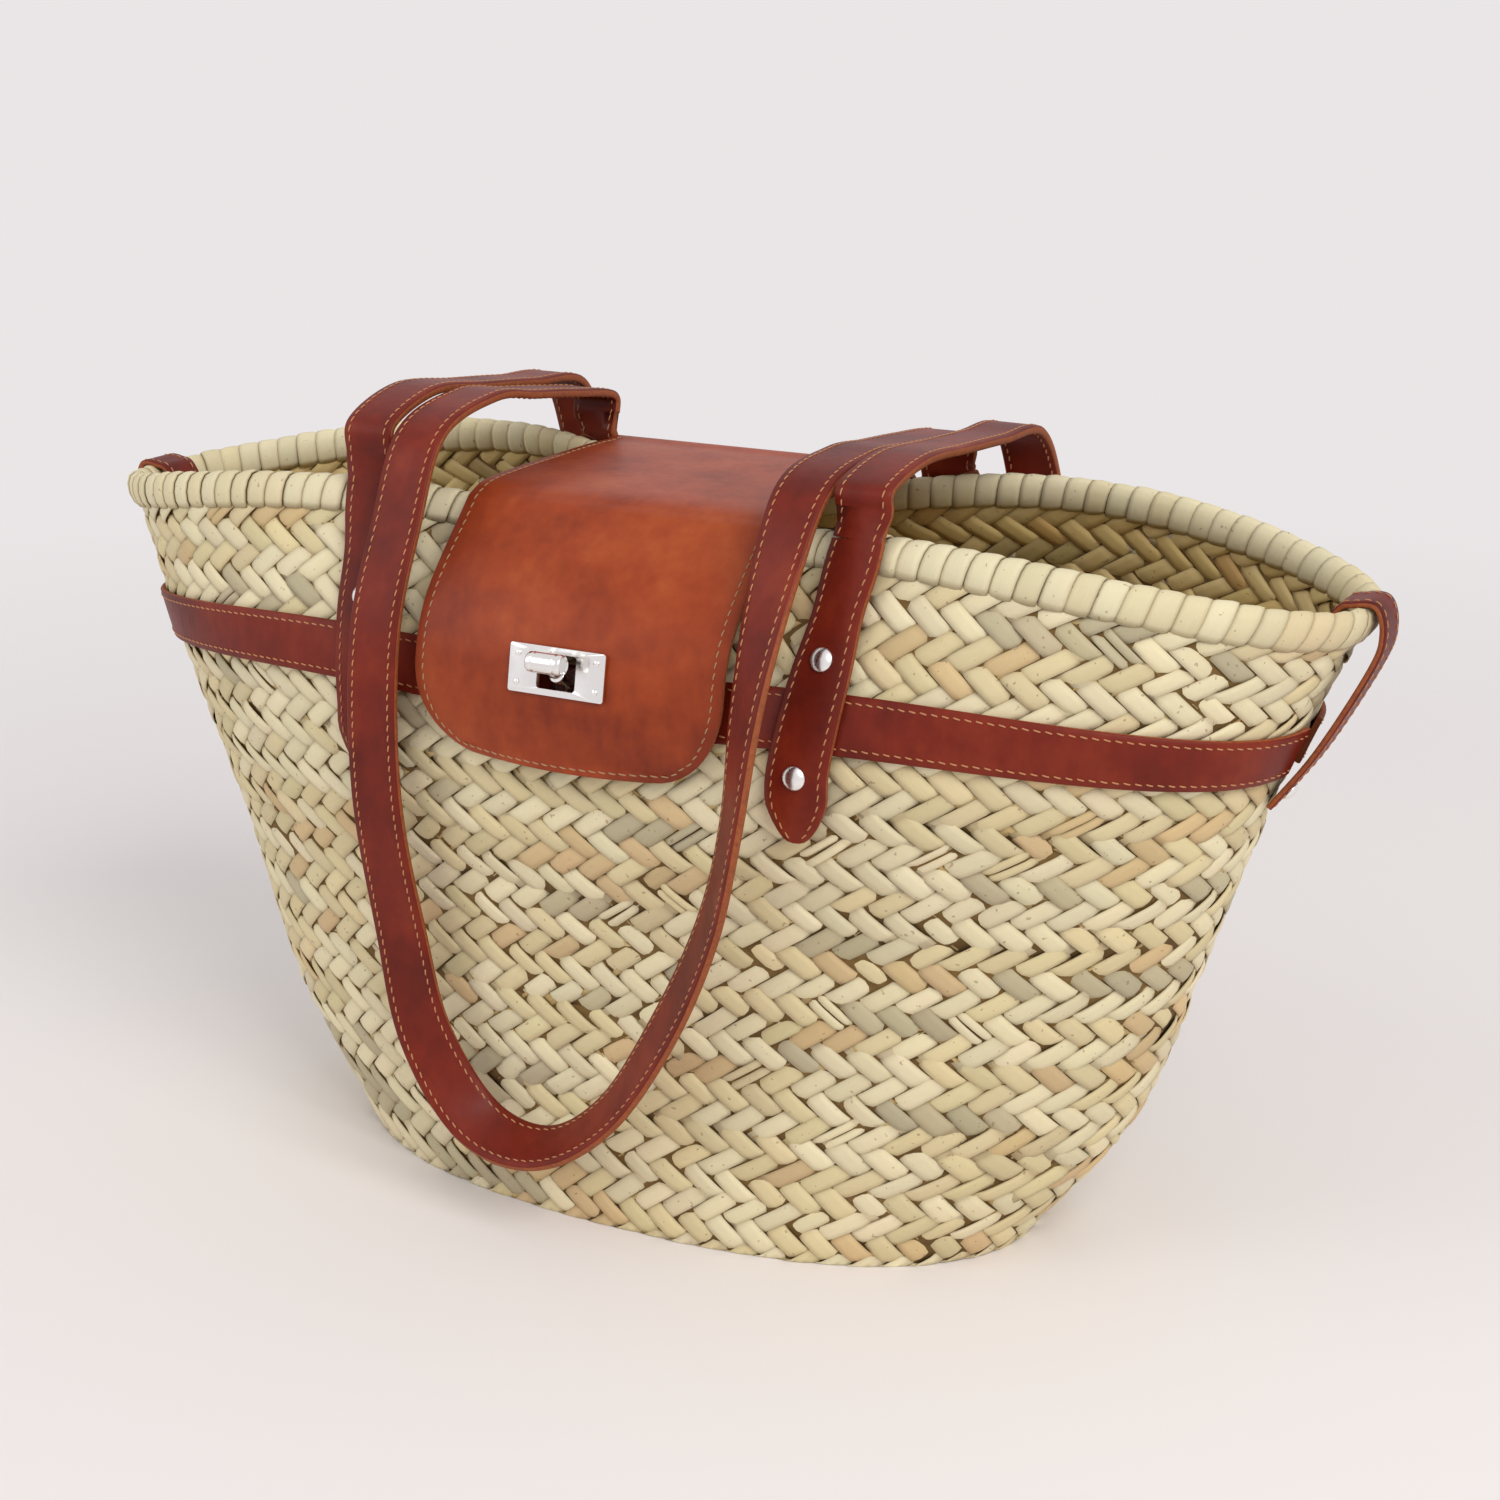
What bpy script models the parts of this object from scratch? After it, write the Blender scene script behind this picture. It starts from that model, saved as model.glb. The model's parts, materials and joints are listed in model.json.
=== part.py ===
import math

import bmesh
import bpy
import numpy as np
from mathutils import Matrix, Vector

# Basket body
RIM_HALF_LENGTH = 0.292
HEIGHT = 0.324
LENGTH_SHAPE = (0.562, 0.705, 0.805, 0.892, 1.0)
RIM_HALF_DEPTH = 0.096
DEPTH_SHAPE = (0.895, 0.900, 0.960, 1.150, 1.0)
SHAPE_LEVELS = (0.0, 0.18, 0.45, 0.72, 1.0)
PLAN_POWER = 2.30
END_DROP = 0.036
MOUTH_DIP = 0.022
DIP_LENGTH = 0.100
PINCH = 0.56
PINCH_LENGTH = 0.132
PINCH_START = 0.50
WALL = 0.004
FLOOR = 0.005
COURSES = 6
WHOLE_COURSES = 4
COURSE_SPANS = 2
RIM_START = 0.950
RIM_SWELL = 0.0032
RIM_FLAT = 0.012
RIM_TOP_SWELL = 0.2
RIM_FOOT_SWELL = 0.5
STATION = 0.0183
AROUND = 4 * math.ceil(RIM_HALF_LENGTH / STATION)

# Clearance between pieces that touch
GAP = 0.0003

# Leather thickness and the belt
LEATHER = 0.0024
STRAP = 0.0036
STRAP_WIDTH = 0.0235
EDGE = 0.0007
BELT_LEVEL = 0.772
BELT_WIDTH = 0.024
BELT_GAP = 0.0005

# Handle tabs, riveted to the wall
TAB_TIP = 0.625
TAB_TAPER = 0.05
TAB_BLUNT = 0.12
TAB_BLADE = 0.96
TAB_RIVETS = (0.706, 0.844)
TAB_X = 0.101
TAB_LIFT_LEVEL = 0.86
TAB_ROWS = 15
TAB_COLUMNS = (-1, -0.5, 0, 0.5, 1)
NECK_LEVEL = 0.90
NECK_SPAN = 0.05
NECK_WAIST = 0.14

# Handle straps: the distance from the middle of each, the arch over the mouth and the hanging loop
LANE_CLEAR = 0.00575
LANE_GAP = 0.0020
ROOT_RISE = 0.010
ROOT_CLEAR = 0.0012
ARCH_RISE = 0.012
ARCH_LEAN = 0.0012
ARCH_SHOULDER = 0.034
ARCH_REACH = 0.006
ARCH_FRACTIONS = (0.64, 0.98, 1.0, 0.96, 0.62)
STRAP_SPAN = 4

# Loop stations: share of the lane, stand-off from the wall, height, then the face's lean in x and z
LOOP_SHAPE = (
    (-1.00, 0.020, 0.300, -0.02, 0.00), (-1.00, 0.018, 0.255, 0.00, 0.00),
    (-0.99, 0.018, 0.190, 0.02, 0.02), (-0.96, 0.020, 0.125, 0.10, 0.10),
    (-0.85, 0.021, 0.080, 0.25, 0.30), (-0.56, 0.021, 0.046, 0.25, 0.75),
    (-0.18, 0.022, 0.042, 0.05, 0.90), (0.20, 0.024, 0.066, -0.25, 0.80),
    (0.54, 0.026, 0.112, -0.55, 0.45), (0.80, 0.027, 0.160, -0.74, 0.15),
    (0.96, 0.027, 0.205, -0.76, 0.05), (1.00, 0.026, 0.255, -0.58, 0.00),
    (1.00, 0.024, 0.300, -0.20, 0.00))
LEAST_REACH = 0.05

# End straps
END_STRAP_WIDTH = 0.020
END_CLEAR = 0.0034
END_TOP_CLEAR = 0.00131822
END_FOOT = 0.680
END_TAIL_DROPS = (0.04536, 0.02592, 0.00648)
END_DOWN_DROPS = (0.00486, 0.02268)
END_EASE = 0.001
END_FLARE = 0.004
END_INSET = 0.003
END_BROW = 0.002
END_CHORD = 0.010
END_SEAT = 0.0050
END_RIVET_INSET = 0.009
END_RIVET_SCALE = 0.8

# Flap
FLAP_HALF = 0.071
FLAP_EXTRA = 0.0004
FLAP_CORNER = 0.036
CORNER_EASE = 0.96
FLAP_SWELL = 0.0045
SWELL_RUN = 0.03
FLAP_DROP = 0.0290
FLAP_REST = 0.0006
FLAP_TUCK = 0.001
FLAP_COLUMNS = 6
TONGUE_RISE = 0.030
TONGUE_SLACK = 0.0090
TONGUE_STEPS = 12
CROWN_LIFT = 0.0004
CROWN_DROP = 0.002
CROWN_HUMP = 0.0025
FOLD_OUT = 0.0085
FOLD_GAP = 0.0006
FLAP_TAIL = 0.004
TAIL_RISE = 0.028
TAIL_LEAN = 0.0015
CROWN_INSET = 0.012
BROW_INSET = 0.006
FLAP_RIVET_INSET = 0.016
COVER_SHARES = (0.0, 0.5, 1.0)
COVER_DEPTH = 0.12

# Turn lock
PLATE_SIZE = (0.044, 0.0195)
PLATE = 0.0012
PLATE_ROUND = 0.0012
PIN_INSET = 0.004
SLOT_SIZE = (0.0176, 0.0142)
SLOT_ROUND = 0.10
SLOT_MARGIN = 0.0012
LOCK_DROP = 0.0725
POST_RADIUS = 0.0024
BARREL_RADIUS = 0.0042
BARREL_LENGTH = 0.0158
BARREL_LIFT = 0.0086
POST_TILT = math.radians(24)
BASE_SIZE = (0.026, 0.018, 0.0018)
BASE_CLEAR = 0.0009
BASE_LEVELS = (0.72, 0.96)
BASE_TRIES = 120
POST_SEAT = 0.0011

# Rivets
RIVET_RADIUS = 0.0048
RIVET_DOME = 0.0024
RIVET_FLANK = 0.3
RIVET_SIDES = 12
PIN_RADIUS = 0.0013
PIN_DOME = 0.0006
PIN_SIDES = 10

# Colour, roughness and metallic value of each slot
MATERIALS = {
    "palm_leaf": ((0.62, 0.52, 0.33), 0.75, 0.0),
    "leather": ((0.26, 0.045, 0.018), 0.45, 0.0),
    "nickel": ((0.80, 0.78, 0.75), 0.22, 1.0),
}

belt_face = BELT_GAP + LEATHER
belt_half = BELT_WIDTH / 2 / HEIGHT
flap_thick = LEATHER + FLAP_EXTRA
base_gap = belt_face + BASE_CLEAR
tab_base = belt_face + GAP
root_base = RIM_SWELL + ROOT_CLEAR
level_gap = GAP / HEIGHT
rear_lane = FLAP_HALF + LANE_CLEAR + STRAP_WIDTH / 2
front_lane = rear_lane + STRAP_WIDTH + LANE_GAP
pivots = {}

for stale in list(bpy.data.objects):
    bpy.data.objects.remove(stale, do_unlink=True)


def material(slot):
    if slot in bpy.data.materials:
        return bpy.data.materials[slot]
    colour, rough, metal = MATERIALS[slot]
    mat = bpy.data.materials.new(slot)
    mat.use_nodes = True
    shader = mat.node_tree.nodes["Principled BSDF"]
    shader.inputs["Base Color"].default_value = (*colour, 1.0)
    shader.inputs["Roughness"].default_value = rough
    shader.inputs["Metallic"].default_value = metal
    mat.diffuse_color = (*colour, 1.0)
    return mat


def add_node(name, verts, faces, slot):
    mesh = bpy.data.meshes.new(name)
    mesh.from_pydata([tuple(map(float, v)) for v in verts], [], faces)
    bm = bmesh.new()
    bm.from_mesh(mesh)
    bmesh.ops.recalc_face_normals(bm, faces=bm.faces)
    bmesh.ops.triangulate(bm, faces=bm.faces)
    bm.to_mesh(mesh)
    bm.free()
    obj = bpy.data.objects.new(name, mesh)
    bpy.context.scene.collection.objects.link(obj)
    mesh.materials.append(material(slot))
    return obj


def combine(obj, tool, operation):
    mod = obj.modifiers.new(operation.lower(), "BOOLEAN")
    mod.operation = operation
    mod.solver = "EXACT"
    mod.object = tool
    graph = bpy.context.evaluated_depsgraph_get()
    done = bpy.data.meshes.new_from_object(obj.evaluated_get(graph))
    obj.modifiers.remove(mod)
    obj.data = done
    bpy.data.objects.remove(tool, do_unlink=True)


# Basket surface

def hermite(values, s):
    levels = SHAPE_LEVELS
    k = min(max(int(np.searchsorted(levels, s, "right")) - 1, 0), len(levels) - 2)

    def slope(i):
        lo, hi = max(i - 1, 0), min(i + 1, len(levels) - 1)
        return (values[hi] - values[lo]) / (levels[hi] - levels[lo])

    h = levels[k + 1] - levels[k]
    t = (s - levels[k]) / h
    return ((2 * t**3 - 3 * t**2 + 1) * values[k] + (t**3 - 2 * t**2 + t) * h * slope(k)
            + (3 * t**2 - 2 * t**3) * values[k + 1] + (t**3 - t**2) * h * slope(k + 1))


def half_length(s):
    return RIM_HALF_LENGTH * hermite(LENGTH_SHAPE, s)


def half_depth(s):
    return RIM_HALF_DEPTH * hermite(DEPTH_SHAPE, s)


def height_at(x, s):
    rim = HEIGHT - END_DROP * (x / RIM_HALF_LENGTH) ** 2
    rim -= MOUTH_DIP * math.exp(-((x / DIP_LENGTH) ** 2))
    return s * (HEIGHT * (1 - s) + rim * s)


def pinch_at(x, s):
    top = max((s - PINCH_START) / (1 - PINCH_START), 0.0) ** 2
    return 1 - PINCH * top * math.exp(-((x / PINCH_LENGTH) ** 2))


def ring_point(angle, s):
    c, q = math.cos(angle), math.sin(angle)
    x = half_length(s) * math.copysign(abs(c) ** (2 / PLAN_POWER), c)
    y = half_depth(s) * math.copysign(abs(q) ** (2 / PLAN_POWER), q)
    return Vector((x, y * pinch_at(x, s), height_at(x, s)))


def ring_normal(angle, s):
    step = 0.004
    lo, hi = max(s - step, 0.0), min(s + step, 1.0)
    along = ring_point(angle + step, s) - ring_point(angle - step, s)
    up = ring_point(angle, hi) - ring_point(angle, lo)
    return along.cross(up).normalized()


def wall_point(x, s, side):
    ratio = min(abs(x) / half_length(s), 0.999)
    y = half_depth(s) * (1 - ratio**PLAN_POWER) ** (1 / PLAN_POWER) * pinch_at(x, s)
    return Vector((x, side * y, height_at(x, s)))


def wall_normal(x, s, side):
    step = 0.003
    across = wall_point(x + step, s, side) - wall_point(x - step, s, side)
    up = wall_point(x, min(s + step, 1.0), side) - wall_point(x, s - step, side)
    n = across.cross(up).normalized()
    return n if n.y * side > 0 else -n


def ring_angle(i):
    return 2 * math.pi * (i + 0.5) / AROUND


# Angles of one half of the ring, from its join at one middle to its join at the other
def half_ring(sign):
    join = math.asin((GAP / 2 / RIM_HALF_LENGTH) ** (PLAN_POWER / 2))
    start = -math.pi / 2 if sign > 0 else math.pi / 2
    inner = [ring_angle(i) for i in range(-AROUND // 4, AROUND)]
    inner = [a for a in inner if start + join < a < start + math.pi - join]
    return [start + join] + inner + [start + math.pi - join]


# A closed loop of (level, offset) pairs, swept round the basket, or along one half of it
def ring_solid(name, section, slot, half=0):
    verts, faces = [], []
    count = len(section)
    angles = half_ring(half) if half else [ring_angle(i) for i in range(AROUND)]
    for angle in angles:
        for s, offset in section:
            verts.append(ring_point(angle, s) + offset * ring_normal(angle, s))
    for i in range(len(angles) - 1 if half else len(angles)):
        j = (i + 1) % len(angles)
        for k in range(count):
            m = (k + 1) % count
            faces.append((i * count + k, j * count + k, j * count + m, i * count + m))
    for end in (0, (len(angles) - 1) * count) if half else ():
        for k in range(count // 2 - 1):
            faces.append((end + k, end + k + 1, end + count - 2 - k, end + count - 1 - k))
    return add_node(name, verts, faces, slot)


def course_section(start, stop):
    rows = [start + (stop - start) * k / COURSE_SPANS for k in range(COURSE_SPANS + 1)]
    return [(s, 0.0) for s in rows] + [(s, -WALL) for s in reversed(rows)]


for index in range(COURSES):
    start = RIM_START * index / COURSES
    stop = RIM_START * (index + 1) / COURSES - level_gap
    if index < WHOLE_COURSES:
        ring_solid(f"plait_course_{index + 1}", course_section(start, stop), "palm_leaf")
        continue
    for sign, hand in ((-1, "left"), (1, "right")):
        ring_solid(f"plait_course_{index + 1}_{hand}", course_section(start, stop), "palm_leaf", sign)

rim_mid = (RIM_START + 1.0) / 2
rim_outer = [(RIM_START, RIM_SWELL * RIM_FOOT_SWELL), (rim_mid - RIM_FLAT, RIM_SWELL),
             (rim_mid + RIM_FLAT, RIM_SWELL), (1.0, RIM_SWELL * RIM_TOP_SWELL)]
rim_inner = [(level, -WALL - offset) for level, offset in reversed(rim_outer)]
for sign, hand in ((-1, "left"), (1, "right")):
    ring_solid(f"rim_binding_{hand}", rim_outer + rim_inner, "palm_leaf", sign)

floor_verts = []
for z in (0.0, FLOOR):
    for i in range(AROUND):
        angle = ring_angle(i)
        p = ring_point(angle, 0.0) - (WALL + 2 * GAP) * ring_normal(angle, 0.0)
        floor_verts.append((p.x, p.y, z))
floor_faces = [tuple(range(AROUND - 1, -1, -1)), tuple(range(AROUND, 2 * AROUND))]
for i in range(AROUND):
    j = (i + 1) % AROUND
    floor_faces.append((i, j, AROUND + j, AROUND + i))
add_node("base_plait", floor_verts, floor_faces, "palm_leaf")


# Leather sheets and straps

# Stations of (point, normal) pairs; the sheet lies from base to base + thick off the points
def sheet_solid(name, rows, base, thick, slot="leather"):
    n, k = len(rows), len(rows[0])
    bases = base if isinstance(base, (list, tuple)) else [base] * n
    verts = []
    for lift in (0.0, thick):
        for row, offset in zip(rows, bases):
            verts += [p + (offset + lift) * q for p, q in row]
    faces = []
    top = n * k
    for i in range(n - 1):
        for j in range(k - 1):
            a, b, c, d = i * k + j, i * k + j + 1, (i + 1) * k + j + 1, (i + 1) * k + j
            faces.append((a, b, c, d))
            faces.append((top + d, top + c, top + b, top + a))
        for j in (0, k - 1):
            faces.append((i * k + j, (i + 1) * k + j, top + (i + 1) * k + j, top + i * k + j))
    for i in (0, n - 1):
        for j in range(k - 1):
            faces.append((i * k + j, i * k + j + 1, top + i * k + j + 1, top + i * k + j))
    return add_node(name, verts, faces, slot)


# A flat strap with eased edges along path[first..last], its outer face along the normals
def strap_solid(name, path, normals, width, thick, first=0, last=None, trim=0.0):
    last = len(path) - 1 if last is None else last
    half, deep, cut = width / 2, thick / 2, EDGE
    loop = [(-half + cut, deep), (half - cut, deep), (half, deep - cut), (half, cut - deep),
            (half - cut, -deep), (cut - half, -deep), (-half, cut - deep), (-half, deep - cut)]
    verts, faces = [], []
    for i in range(first, last + 1):
        run = (path[min(i + 1, len(path) - 1)] - path[max(i - 1, 0)]).normalized()
        p = path[i] + run * trim * ((i == first) - (i == last))
        out = normals[i] - run * normals[i].dot(run)
        out.normalize()
        side = run.cross(out)
        verts += [p + side * u + out * v for u, v in loop]
    m, count = len(loop), last - first + 1
    for i in range(count - 1):
        for j in range(m):
            k = (j + 1) % m
            faces.append((i * m + j, i * m + k, (i + 1) * m + k, (i + 1) * m + j))
    faces.append(tuple(range(m)))
    faces.append(tuple(reversed(range((count - 1) * m, count * m))))
    return add_node(name, verts, faces, "leather")


def smooth_path(points, per_span):
    pts = [2 * Vector(points[0]) - Vector(points[1])] + [Vector(p) for p in points]
    pts.append(2 * Vector(points[-1]) - Vector(points[-2]))
    out = []
    for i in range(1, len(pts) - 2):
        p0, p1, p2, p3 = pts[i - 1:i + 3]
        for k in range(per_span):
            t = k / per_span
            out.append(0.5 * (2 * p1 + (p2 - p0) * t + (2 * p0 - 5 * p1 + 4 * p2 - p3) * t * t
                              + (3 * p1 - p0 - 3 * p2 + p3) * t**3))
    out.append(pts[-2])
    return out


# Belt, in a front and a rear half that meet under the end straps
belt_rows = [BELT_LEVEL + belt_half * k for k in (-1, 0, 1)]
for side, label in ((-1, "front"), (1, "rear")):
    first = AROUND // 2 if side < 0 else 0
    rows = []
    for i in range(first, first + AROUND // 2):
        angle = ring_angle(i)
        rows.append([(ring_point(angle, s), ring_normal(angle, s)) for s in belt_rows])
    sheet_solid(f"belt_{label}", rows, BELT_GAP, LEATHER)


def rivet(name, centre, axis, radius, dome, rings=2, sides=RIVET_SIDES):
    axis = axis.normalized()
    u = axis.orthogonal().normalized()
    v = axis.cross(u)
    verts, faces = [], []
    for r in range(rings):
        turn = math.pi / 2 * r / rings
        flat = radius * math.cos(turn)
        rise = dome * (RIVET_FLANK + (1 - RIVET_FLANK) * math.sin(turn))
        for k in range(sides):
            a = 2 * math.pi * k / sides
            verts.append(centre + u * flat * math.cos(a) + v * flat * math.sin(a) + axis * rise)
    low = len(verts)
    for k in range(sides):
        a = 2 * math.pi * k / sides
        verts.append(centre + u * radius * math.cos(a) + v * radius * math.sin(a))
    tip = len(verts)
    verts.append(centre + axis * dome)
    for k in range(sides):
        m = (k + 1) % sides
        faces.append((low + k, low + m, m, k))
        for r in range(rings - 1):
            faces.append((r * sides + k, r * sides + m, (r + 1) * sides + m, (r + 1) * sides + k))
        faces.append(((rings - 1) * sides + k, (rings - 1) * sides + m, tip))
    faces.append(tuple(reversed(range(low, low + sides))))
    return add_node(name, verts, faces, "nickel")


# Handles: a riveted tab on the wall, an arch over the mouth and a long loop

def tab_width(level):
    tip = min(max((level - TAB_TIP) / TAB_TAPER, 0.0), 1.0)
    neck = math.exp(-(((level - NECK_LEVEL) / NECK_SPAN) ** 2))
    return STRAP_WIDTH * (TAB_BLUNT + TAB_BLADE * math.sqrt(tip)) * (1 - NECK_WAIST * neck)


def tab_x(level, lane):
    lean = (level - TAB_RIVETS[0]) / (1.0 - TAB_RIVETS[0])
    return TAB_X + (lane - TAB_X) * max(lean, 0.0)


def root_spot(lane, side):
    rim = wall_point(lane, 1.0, side)
    return abs(rim.y) + root_base + STRAP / 2, rim.z + ROOT_RISE


# Points (y, z) from the rim on this side, over the mouth, to the bend on the other side
def arch_profile(lane, side):
    y, z = root_spot(lane, side)
    places = (y - ARCH_LEAN, y - ARCH_SHOULDER, 0.0, ARCH_SHOULDER - y, -y - ARCH_REACH)
    return [(y, z)] + [(p, z + f * ARCH_RISE) for p, f in zip(places, ARCH_FRACTIONS)]


def handle_tab(label, hand, sign, lane, side):
    rows, bases = [], []
    levels = [TAB_TIP + (1.0 - TAB_TIP) * k / TAB_ROWS for k in range(TAB_ROWS + 1)]
    levels.insert(1, (2 * levels[0] + levels[1]) / 3)
    for s in levels:
        x = sign * tab_x(s, lane)
        half = tab_width(s) / 2
        n = wall_normal(x, s, side)
        rows.append([(wall_point(x + half * k, s, side), n) for k in TAB_COLUMNS])
        near = max(0.0, (s - TAB_LIFT_LEVEL) / (1.0 - TAB_LIFT_LEVEL))
        bases.append(tab_base + (root_base - tab_base) * near)
    y, z = root_spot(lane, side)
    rim_z = rows[-1][len(TAB_COLUMNS) // 2][0].z
    half = tab_width(1.0) / 2
    for k in (1, 2, 3):
        up = rim_z + (z - GAP - rim_z) * k / 3
        rows.append([(Vector((sign * lane + half * m, side * (y - STRAP / 2), up)), Vector((0, side, 0)))
                     for m in TAB_COLUMNS])
        bases.append(0.0)
    sheet_solid(f"{label}_tab_{hand}", rows, bases, STRAP)
    for s, place in zip(TAB_RIVETS, ("lower", "upper")):
        x = sign * tab_x(s, lane)
        n = wall_normal(x, s, side)
        seat = wall_point(x, s, side) + n * (tab_base + STRAP + GAP)
        rivet(f"{label}_{hand}_rivet_{place}", seat, n, RIVET_RADIUS, RIVET_DOME)


# The side is where the handle is riveted; its loop hangs on the opposite side
def handle(label, lane, side):
    for sign, hand in ((-1, "left"), (1, "right")):
        handle_tab(label, hand, sign, lane, side)
    spots = [Vector((-lane, side * y, z)) for y, z in arch_profile(lane, side)]
    before = [spots[0] - Vector((0, 0, ROOT_RISE))] + spots[:-1]
    after = spots[1:] + [spots[-1]]
    faces = [side * Vector((0, b.z - a.z, a.y - b.y)) for a, b in zip(before, after)]
    stations = list(zip(spots, faces))
    for share, off, z, nx, nz in LOOP_SHAPE:
        reach = math.sqrt(max(1.0 - nx**2 - nz**2, LEAST_REACH))
        y = wall_point(share * lane, z / HEIGHT, 1).y + off
        stations.append((Vector((share * lane, -side * y, z)), Vector((nx, -side * reach, nz))))
    stations += [(Vector((lane, p.y, p.z)), n) for p, n in zip(reversed(spots), reversed(faces))]
    path = smooth_path([p for p, _ in stations], STRAP_SPAN)
    normals = smooth_path([n.normalized() for _, n in stations], STRAP_SPAN)
    bend, end = (len(spots) - 1) * STRAP_SPAN, len(path) - 1
    cuts = (("arch_left", 0, bend), ("loop", bend, end - bend), ("arch_right", end - bend, end))
    for piece, first, last in cuts:
        strap_solid(f"{label}_{piece}", path, normals, STRAP_WIDTH, STRAP, first, last, GAP)
    for place, i in (("root", 0), ("bend", bend)):
        pivots[f"{label}_{place}"] = path[i] + Vector((lane, 0, 0)) + normals[i].normalized() * STRAP / 2


handle("front_handle", front_lane, -1)
handle("rear_handle", rear_lane, 1)

# End straps: over the rim, then a straight chord to a rivet under the belt
for sign, hand in ((-1, "left"), (1, "right")):
    angle = 0.0 if sign > 0 else math.pi
    top = ring_point(angle, 1.0)
    out = Vector((sign, 0, 0))
    inside = WALL + RIM_SWELL + END_CLEAR
    outside = RIM_SWELL + END_CLEAR
    def beside(level, offset):
        return ring_point(angle, level) + ring_normal(angle, level) * offset

    inner_corner = beside(1.0, -WALL - RIM_SWELL * RIM_TOP_SWELL)
    lift = Vector((0, 0, inner_corner.z - top.z + END_TOP_CLEAR))

    spots = [beside(1.0 - drop / HEIGHT, -inside - ease)
             for drop, ease in zip(END_TAIL_DROPS, (0.0, END_EASE, END_EASE))]
    spots += [top - out * (WALL + END_INSET) + lift, top + out * END_BROW + lift]
    spots += [beside(1.0 - drop / HEIGHT, outside + ease)
              for drop, ease in zip(END_DOWN_DROPS, (END_EASE, END_FLARE))]
    spots += [ring_point(angle, BELT_LEVEL) + out * (belt_face + END_CHORD),
              ring_point(angle, END_FOOT) + out * (belt_face + END_SEAT)]
    path = smooth_path(spots, STRAP_SPAN)
    flow = [path[min(i + 1, len(path) - 1)] - path[max(i - 1, 0)] for i in range(len(path))]
    normals = [Vector((-f.z * sign, 0, f.x * sign)) for f in flow]
    strap_solid(f"end_strap_{hand}", path, normals, END_STRAP_WIDTH, LEATHER)
    run = flow[-1].normalized()
    face = Vector((-run.z * sign, 0, run.x * sign))
    seat = path[-1] - run * END_RIVET_INSET + face * (LEATHER / 2 + GAP)
    rivet(f"end_strap_rivet_{hand}", seat, face, RIVET_RADIUS * END_RIVET_SCALE, RIVET_DOME)

# Flap: a bridge from the rear wall over the mouth, and a tongue folded down the front
rim_edge = wall_point(FLAP_HALF, 1.0, 1)
belt_edge = wall_point(FLAP_HALF, BELT_LEVEL, 1)
crown = rim_edge.z + CROWN_LIFT
fold_y = rim_edge.y + FOLD_OUT


def clear_of_wall(levels):
    widest = max(wall_point(FLAP_HALF * u, level, 1).y for u in COVER_SHARES for level in levels)
    return widest + belt_face + FLAP_REST


rest_y = clear_of_wall([BELT_LEVEL - COVER_DEPTH * k / 3 for k in range(4)])
rear_y = clear_of_wall(belt_rows)
fold = Vector((0.0, -fold_y, crown - CROWN_DROP))
tongue_path = smooth_path([fold, (0, TONGUE_SLACK - rest_y, belt_edge.z + TONGUE_RISE),
                           (0, -rest_y, belt_edge.z), (0, FLAP_TUCK - rest_y, belt_edge.z - FLAP_DROP)],
                          TONGUE_STEPS)


def turned(path, i):
    run = (path[min(i + 1, len(path) - 1)] - path[max(i - 1, 0)]).normalized()
    return run, Vector((0, run.z, -run.y))


def tongue_row(i):
    p = tongue_path[i]
    left = (tongue_path[-1] - p).length
    t = max(1 - left / FLAP_CORNER, 0.0)
    half = FLAP_HALF - FLAP_CORNER * (1 - math.sqrt(1 - t * t)) * CORNER_EASE
    _, out = turned(tongue_path, i)
    curl = FLAP_SWELL * min((p - fold).length / SWELL_RUN, 1.0)
    shares = [k / FLAP_COLUMNS for k in range(-FLAP_COLUMNS, FLAP_COLUMNS + 1)]
    return [(p + Vector((half * u, 0, 0)) + out * curl * (1 - u * u), out) for u in shares]


keep = [i for i in range(len(tongue_path)) if i % 3 == 0 or i > 2 * TONGUE_STEPS]
flap = sheet_solid("flap_tongue", [tongue_row(i) for i in keep], 0.0, flap_thick)
run, face = turned(tongue_path, 0)
pivots["flap_fold"] = fold + face * flap_thick
back = smooth_path([(0, rear_y, belt_edge.z - FLAP_TAIL), (0, rear_y - TAIL_LEAN, belt_edge.z + TAIL_RISE),
                    (0, fold_y, crown - CROWN_DROP), (0, rim_edge.y - CROWN_INSET, crown + CROWN_DROP),
                    (0, 0.0, crown + CROWN_HUMP), (0, BROW_INSET - rim_edge.y, crown + CROWN_DROP * 0.8),
                    tuple(fold - run * FOLD_GAP)], STRAP_SPAN)
bridge_rows = []
for i, p in enumerate(back):
    out = turned(back, i)[1] if i < len(back) - 1 else face
    bridge_rows.append([(p + Vector((FLAP_HALF * u, 0, 0)), out) for u in (-1, 1)])
sheet_solid("flap_bridge", bridge_rows, 0.0, flap_thick)
for sign, hand in ((-1, "left"), (1, "right")):
    out = turned(back, STRAP_SPAN // 2)[1]
    spot = back[STRAP_SPAN // 2] + Vector((sign * (FLAP_HALF - FLAP_RIVET_INSET), 0, 0))
    rivet(f"flap_rivet_{hand}", spot + out * (flap_thick + GAP), out, RIVET_RADIUS, RIVET_DOME)

# Turn lock on the tongue
seat = min(range(len(tongue_path)), key=lambda i: abs(tongue_path[i].z - (HEIGHT - LOCK_DROP)))
run, face = turned(tongue_path, seat)
lock_face = tongue_path[seat] + face * (FLAP_SWELL + flap_thick + GAP)
up = -run
right = Vector((1, 0, 0))


def lock_place(u, v, w):
    return lock_face + right * u + up * v + face * w


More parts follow.
